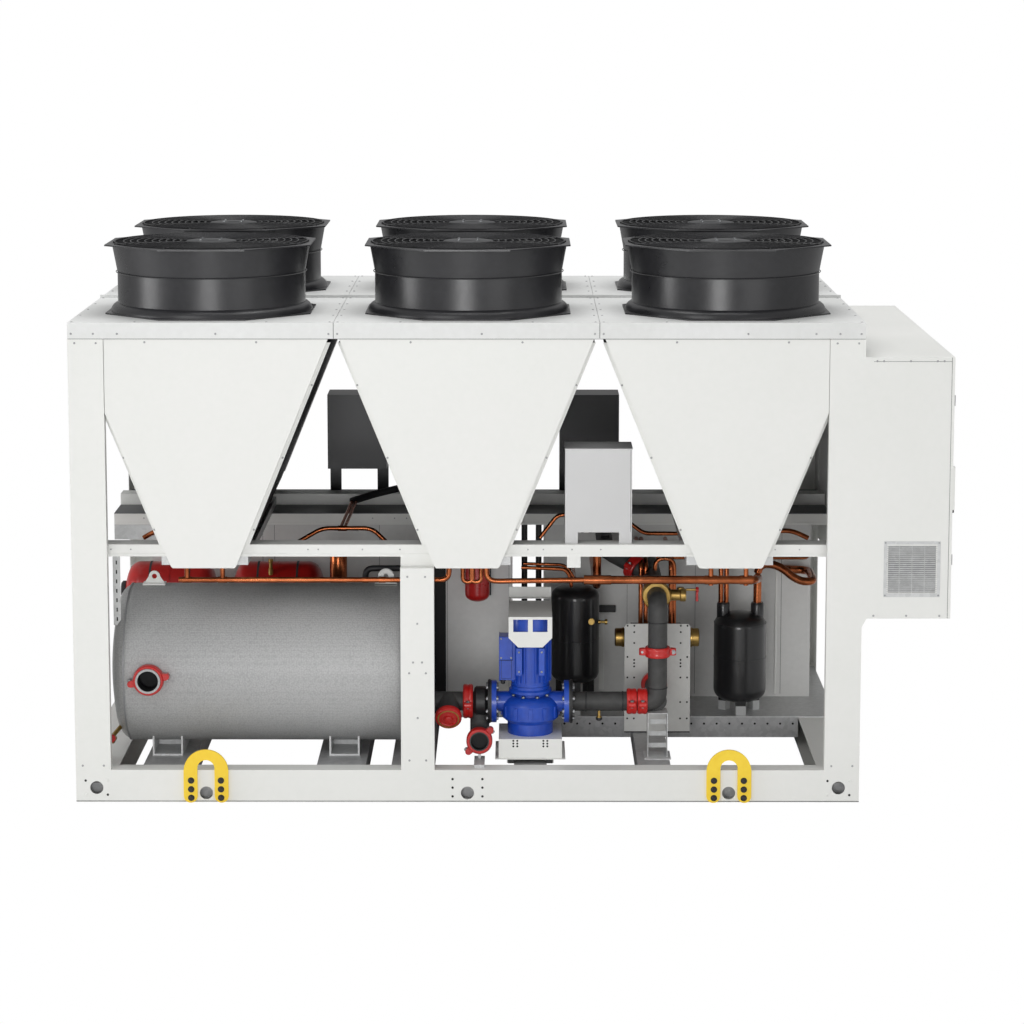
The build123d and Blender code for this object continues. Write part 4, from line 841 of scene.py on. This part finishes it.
rear = moved(lathe([(44.9, 0), (58, 0), (62, 6), (62, 34), (58, 40), (44.9, 40), (44.9, 0)], 32, "y"), (2661, 600, PIPE_Z))
piece("rear_coupling", rear, RED)
rungs = [block((2616, 300, z), (2706, 303, z + 22)) for z in (180, 236, 292)]
piece("riser_support_rungs", merge(*rungs, block((2600, 190, 150.2), (2722, 340, 154))), PALE_ZINC)
print(count)

# %% [markdown]
# ## Copper pipework
# Refrigerant tubes are drawn along their route: straight runs with rounded corners, swept
# by one circle. Brazed sleeves are short, slightly wider tubes at the joints.

# %% Copper tubes
def route(points, radius, bend=40, sides=14):
    """Round tube along a route with rounded corners."""
    return tube(bent(points, bend), radius, sides)


UP = 1088
header_l = route([(466, 150, 1003), (1700, 150, 1003), (1700, 150, UP)], 12.5)
header_r = route([(1870, 150, UP), (1870, 150, 996), (2330, 150, 1003)], 12.5, 55)
header_big = route([(2316, 150, 1003), (3098, 150, 1003), (3190, 1120, 815)], 19, 45)
tees = [route([(x, 150, z), (x, 150, UP)], 11.5) for x, z in ((504, 1003), (666, 1003), (2896, 978), (3056, 978))]
loops = [route([(x, 190, UP), (x, 190, 985), (x + 46, 190, 985), (x + 46, 190, UP)], 10, 24) for x in (1762, 1800)]
mid = route([(2030, 400, 1012), (2240, 400, 1004), (2262, 400, 950), (2262, 400, 920), (2262, 1100, 905)], 9, 30)
mid2 = route([(2040, 430, 1024), (2236, 430, 1018), (2280, 430, 950), (2280, 1050, 905)], 8, 30)
big = route([(2390, 700, 1029), (2390, 700, 860), (2390, 1418, 860)], 20, 60)
arch = route([(2672, 850, 700), (2672, 850, 968), (2765, 850, 968), (2765, 850, 640)], 10, 46)
exch = [route([(x, 841, 640), (x, 841, 960), (x, 1418, 960)], 11, 50) for x in (2604, 2628, 2748)]
suction = [route([(x, 1120, 690), (x, 1120, 940), (x, 1418, 940)], 12, 60) for x in (3008, 3035)]
swan = route([(3187, 1120, 680), (3187, 1120, 890), (3285, 1120, 888), (3385, 1120, 803), (3462, 1120, 803),
              (3462, 1385, 808), (3330, 1385, 812), (3330, 1418, 812)], 20, 58)
deck_run = route([(960, 900, 1040), (1072, 900, 1106), (1313, 900, 1106), (1380, 900, 1040)], 11, 40)
deck_arch = route([(2120, 900, 1060), (2205, 900, 1172), (2500, 900, 1172), (2567, 900, 1121), (2620, 900, 1081),
                   (2820, 900, 1081)], 10, 30)
level = route([(2680, 900, 963), (3405, 900, 963), (3440, 1100, 963)], 9, 30)
deck_up = [route([(x, 900, 1106), (x + 30, 1400, 1150)], 8) for x in (1160, 1180)]
left_ring = route([(200, 1000, 1040), (260, 1000, 1075), (420, 1000, 1078), (500, 1000, 1040)], 12, 40)
right_ring = route([(3180, 1000, 1040), (3250, 1000, 1075), (3340, 1000, 1078), (3420, 1000, 1040)], 12, 40)
piece("copper_tubes", merge(header_l, header_r, header_big, *tees, *loops, mid, mid2, big, arch, *exch, *suction, swan, deck_run, deck_arch, level,
                            *deck_up, left_ring, right_ring), COPPER, stands_for=("copper_pipes",))
sleeves = [route([(a, 150, 1003), (b, 150, 1003)], r) for a, b, r in
           ((484, 524, 15), (646, 686, 15), (1380, 1410, 14.5), (2316, 2440, 22), (2868, 2924, 21.5), (3028, 3084, 21.5))]
sleeves += [route([(1150, 900, 1106), (1192, 900, 1106)], 13.5)]
collars = [moved(lathe([(44, -3), (47, -2), (47, 2), (44, 3), (44, -3)], 40), (2661, PUMP_Y, z)) for z in (779, 470)]
collars += [moved(lathe([(44, -3), (47, -2), (47, 2), (44, 3), (44, -3)], 40, "x"), (x, PUMP_Y, PIPE_Z)) for x in (2330, 2500)]
piece("pipe_jacket_seams", merge(*collars), PLASTIC)
piece("copper_sleeves", merge(*sleeves), COPPER)
black_runs = [route([(1188, 1400, 1152), (1300, 1500, 1172), (1440, 1560, 1196)], 18, 30),
              route([(1500, 700, 949), (1290, 700, 949), (1290, 700, 860)], 15, 40),
              route([(1560, 900, 1050), (1620, 900, 1012), (1700, 900, 1012)], 16, 30),
              route([(2047, 1464, 872), (2047, 1464, 157)], 15), route([(2118, 1464, 872), (2118, 1464, 157)], 15),
              route([(2440, 1120, 1034), (2440, 1120, 985), (2440, 1418, 960)], 22, 40)]
drier = lathe([(0, 0), (30, 4), (42, 24), (42, 150), (30, 176), (12, 180), (12, 196), (0, 196)], 28)
piece("filter_drier", moved(drier, (1144, 1000, 800)), COPPER)
piece("insulated_runs", merge(*black_runs), PLASTIC)
print(count)

# %% [markdown]
# ## Pressure vessels and housings
# A vessel is two pressed halves, so a weld runs round it. Straps, end caps and brass fittings
# mark which way is up. The housings behind are plain sheet with seams.

# %% Vessel seams, straps, fittings and housing seams
weld = [band(x, 1200, 745, 140, 5, 1.6) for x in (310, 838)]
straps = [band(x, 1200, 745, 140, 10, 1.4) for x in (214, 406, 742, 934)]
piece("vessel_welds", merge(*weld), RED)
piece("vessel_straps", merge(*straps), SHADE)
caps = [moved(lathe([(0, 0), (36, 0), (44, 8), (44, 22), (30, 30), (30, 34), (0, 34)], 32, "x"), (x, 1200, 745)) for x in (64, 592)]
piece("vessel_end_caps", merge(*caps), PLASTIC)
valves = [moved(lathe([(0, 0), (12, 0), (12, 30), (9, 34), (9, 62), (12, 66), (12, 78), (0, 78)], 12), (x, 1104, 838)) for x in (807,)]
piece("vessel_valves", merge(*valves), BRASS)


def hoop(x, y, z, radius, width=5, proud=1.5):
    """Weld bead round an upright vessel."""
    profile = [(radius - 1, -width / 2), (radius + proud, -width / 3), (radius + proud, width / 3), (radius - 1, width / 2),
               (radius - 1, -width / 2)]
    return moved(lathe(profile, 64), (x, y, z))


beads = [hoop(2295, 1120, 520, 118), hoop(3104, 1120, 430, 128), hoop(3104, 1120, 600, 128, 4, 1)]
piece("refrigerant_vessel_welds", merge(*beads), BLACK)
nuts = [moved(lathe([(0, 0), (30, 0), (32, 4), (32, 88), (28, 96), (0, 96)], 28), (x, 1120, 604)) for x in (3021, 3187)]
piece("accumulator_nuts", merge(*nuts), BLACK)
fitting = merge(moved(lathe([(0, 0), (11, 0), (11, 10), (7, 12), (7, 30), (14, 32), (14, 44), (0, 44)], 12, "x"), (2408, 1085, 608)),
                moved(lathe([(0, 0), (15, 0), (17, 3), (17, 9), (10, 12), (0, 12)], 20, "y"), (2372, 1020, 622)))
piece("receiver_fittings", fitting, BRASS)
seams = [block((x - 0.8, 1418.2, 170), (x + 0.8, 1419.5, 1028)) for x in (742, 801, 1324, 2560, 2900, 3200, 3330)]
seams += [block((x - 0.8, 1003.2, 170), (x + 0.8, 1004.5, 1028)) for x in (1672, 1971)]
piece("housing_seams", merge(*seams), SHADE)
strip = block((2420, 1412, 192), (2446, 1419, 580))
piece("housing_strip", merge(strip, block((3300, 1413, 170), (3308, 1419, 1020))), WHITE, bevel=1)
slotted = merge(block((158, 200, 780), (192, 204, 1126)), block((60, 1000, 1032), (260, 1004, 1105)))
piece("left_end_brackets", slotted, PALE_ZINC, bevel=1)
# The bracket's slots and the plate in the narrow gap at X 1600 to 1664 are painted shade.
slots = [block((172, 199.4, z), (178, 201, z + 18)) for z in range(800, 1110, 44)]
piece("left_bracket_slots", merge(*slots, block((1600, 1000, 170), (1664, 1002.6, 1028))), RECESS_SHADE)
clip = merge(block((2418, 1384, 592), (2502, 1419, 624)), block((1860, 985, 760), (1884, 1004, 900)))
piece("housing_brackets", clip, PLASTIC, bevel=2)
ring_eye = np.linspace(0, pi, 15)
arc = np.concatenate([np.stack([1399 + 37 * np.cos(ring_eye), 960 + 37 * np.sin(ring_eye)], -1),
                      np.stack([1399 - 17 * np.cos(ring_eye), 960 + 17 * np.sin(ring_eye)], -1)])
half_ring = stitch(np.stack([np.column_stack([arc[:15, 0], np.full(15, y), arc[:15, 1]]) for y in (444, 456)]
                            + [np.column_stack([arc[:14:-1, 0], np.full(15, y), arc[:14:-1, 1]]) for y in (456, 444)]), close_u=True)
piece("tank_ring_eye", merge(half_ring, block((1348, 420, 921), (1450, 480, 929)), block((1362, 444, 928), (1382, 456, 962)),
                             block((1416, 444, 928), (1436, 456, 962))), WHITE)
print(count)

# %% [markdown]
# ## The camera, the light and the ground
# The photograph was taken with a long lens from a little above, straight at the front.
# Soft light comes from a bright room and two large panels. The floor is white to the camera,
# and an ordinary pale surface to every other ray, so it still returns light from below.

# %% Camera
camera = bpy.data.objects.new("camera", bpy.data.cameras.new("camera"))
bpy.context.scene.collection.objects.link(camera)
camera.location = (0.0296, -14.4712, 3.6916)
camera.rotation_euler = (radians(90 - 8.014), 0, radians(0.135))
camera.data.lens = 105.97
camera.data.shift_y = -0.1
camera.data.sensor_width = 36
camera.data.clip_end = 200
bpy.context.scene.camera = camera

# %% Light and floor
world = bpy.data.worlds.new("room")
bpy.context.scene.world = world
world.use_nodes = True
tree = world.node_tree
sky = tree.nodes["Background"]
sky.inputs["Color"].default_value = (1, 1, 1, 1)
sky.inputs["Strength"].default_value = 0.4
clear = tree.nodes.new("ShaderNodeBackground")
clear.inputs["Color"].default_value = (1, 1, 1, 1)
clear.inputs["Strength"].default_value = 1.0
rays = tree.nodes.new("ShaderNodeLightPath")
choose = tree.nodes.new("ShaderNodeMixShader")
tree.links.new(rays.outputs["Is Camera Ray"], choose.inputs[0])
tree.links.new(sky.outputs[0], choose.inputs[1])
tree.links.new(clear.outputs[0], choose.inputs[2])
tree.links.new(choose.outputs[0], tree.nodes["World Output"].inputs["Surface"])


def softbox(name, place, aim, size, power):
    """Square area light that looks at a point."""
    light = bpy.data.lights.new(name, "AREA")
    light.size, light.energy = size, power
    lamp = bpy.data.objects.new(name, light)
    bpy.context.scene.collection.objects.link(lamp)
    lamp.location = place
    lamp.rotation_euler = (Vector(aim) - Vector(place)).to_track_quat("-Z", "Y").to_euler()


softbox("key", (-5.0, -9.0, 8.0), (0, 0, 1.2), 5.0, 170)
softbox("front", (-1.0, -11.0, 1.3), (0, 0, 0.9), 3.0, 240)
softbox("fill", (6.0, -9.0, 3.0), (0, 0, 1.0), 5.0, 100)
softbox("side", (-9.5, -3.0, 2.6), (0, -0.6, 1.9), 3.0, 200)
softbox("top", (0.0, 0.5, 9.0), (0, 0, 1.5), 6.0, 420)

floor_mesh = bpy.data.meshes.new("floor")
edge = 30.0
floor_mesh.from_pydata([(-edge, -edge, 0), (edge, -edge, 0), (edge, edge, 0), (-edge, edge, 0)], [],
                       [(0, 1, 2, 3)])
floor = bpy.data.objects.new("floor", floor_mesh)
floor.location.z = -0.001
bpy.context.scene.collection.objects.link(floor)
ground = bpy.data.materials.new("pale_floor")
ground.use_nodes = True
tree = ground.node_tree
pale = tree.nodes["Principled BSDF"]
pale.inputs["Base Color"].default_value = (0.8, 0.8, 0.8, 1)
pale.inputs["Roughness"].default_value = 0.9
glow = tree.nodes.new("ShaderNodeEmission")
glow.inputs["Strength"].default_value = 1.0
rays = tree.nodes.new("ShaderNodeLightPath")
choose = tree.nodes.new("ShaderNodeMixShader")
tree.links.new(rays.outputs["Is Camera Ray"], choose.inputs[0])
tree.links.new(pale.outputs[0], choose.inputs[1])
tree.links.new(glow.outputs[0], choose.inputs[2])
tree.links.new(choose.outputs[0], tree.nodes["Material Output"].inputs["Surface"])
floor_mesh.materials.append(ground)
bpy.context.scene.view_settings.view_transform = "Standard"
print("camera at", tuple(round(v, 3) for v in camera.location))

# %% [markdown]
# ## Counting the pieces
# The last step prints how many pieces were added and how many faces they have.

# %% Piece and face counts, and the end
print("pieces", count["pieces"], "faces", count["faces"])
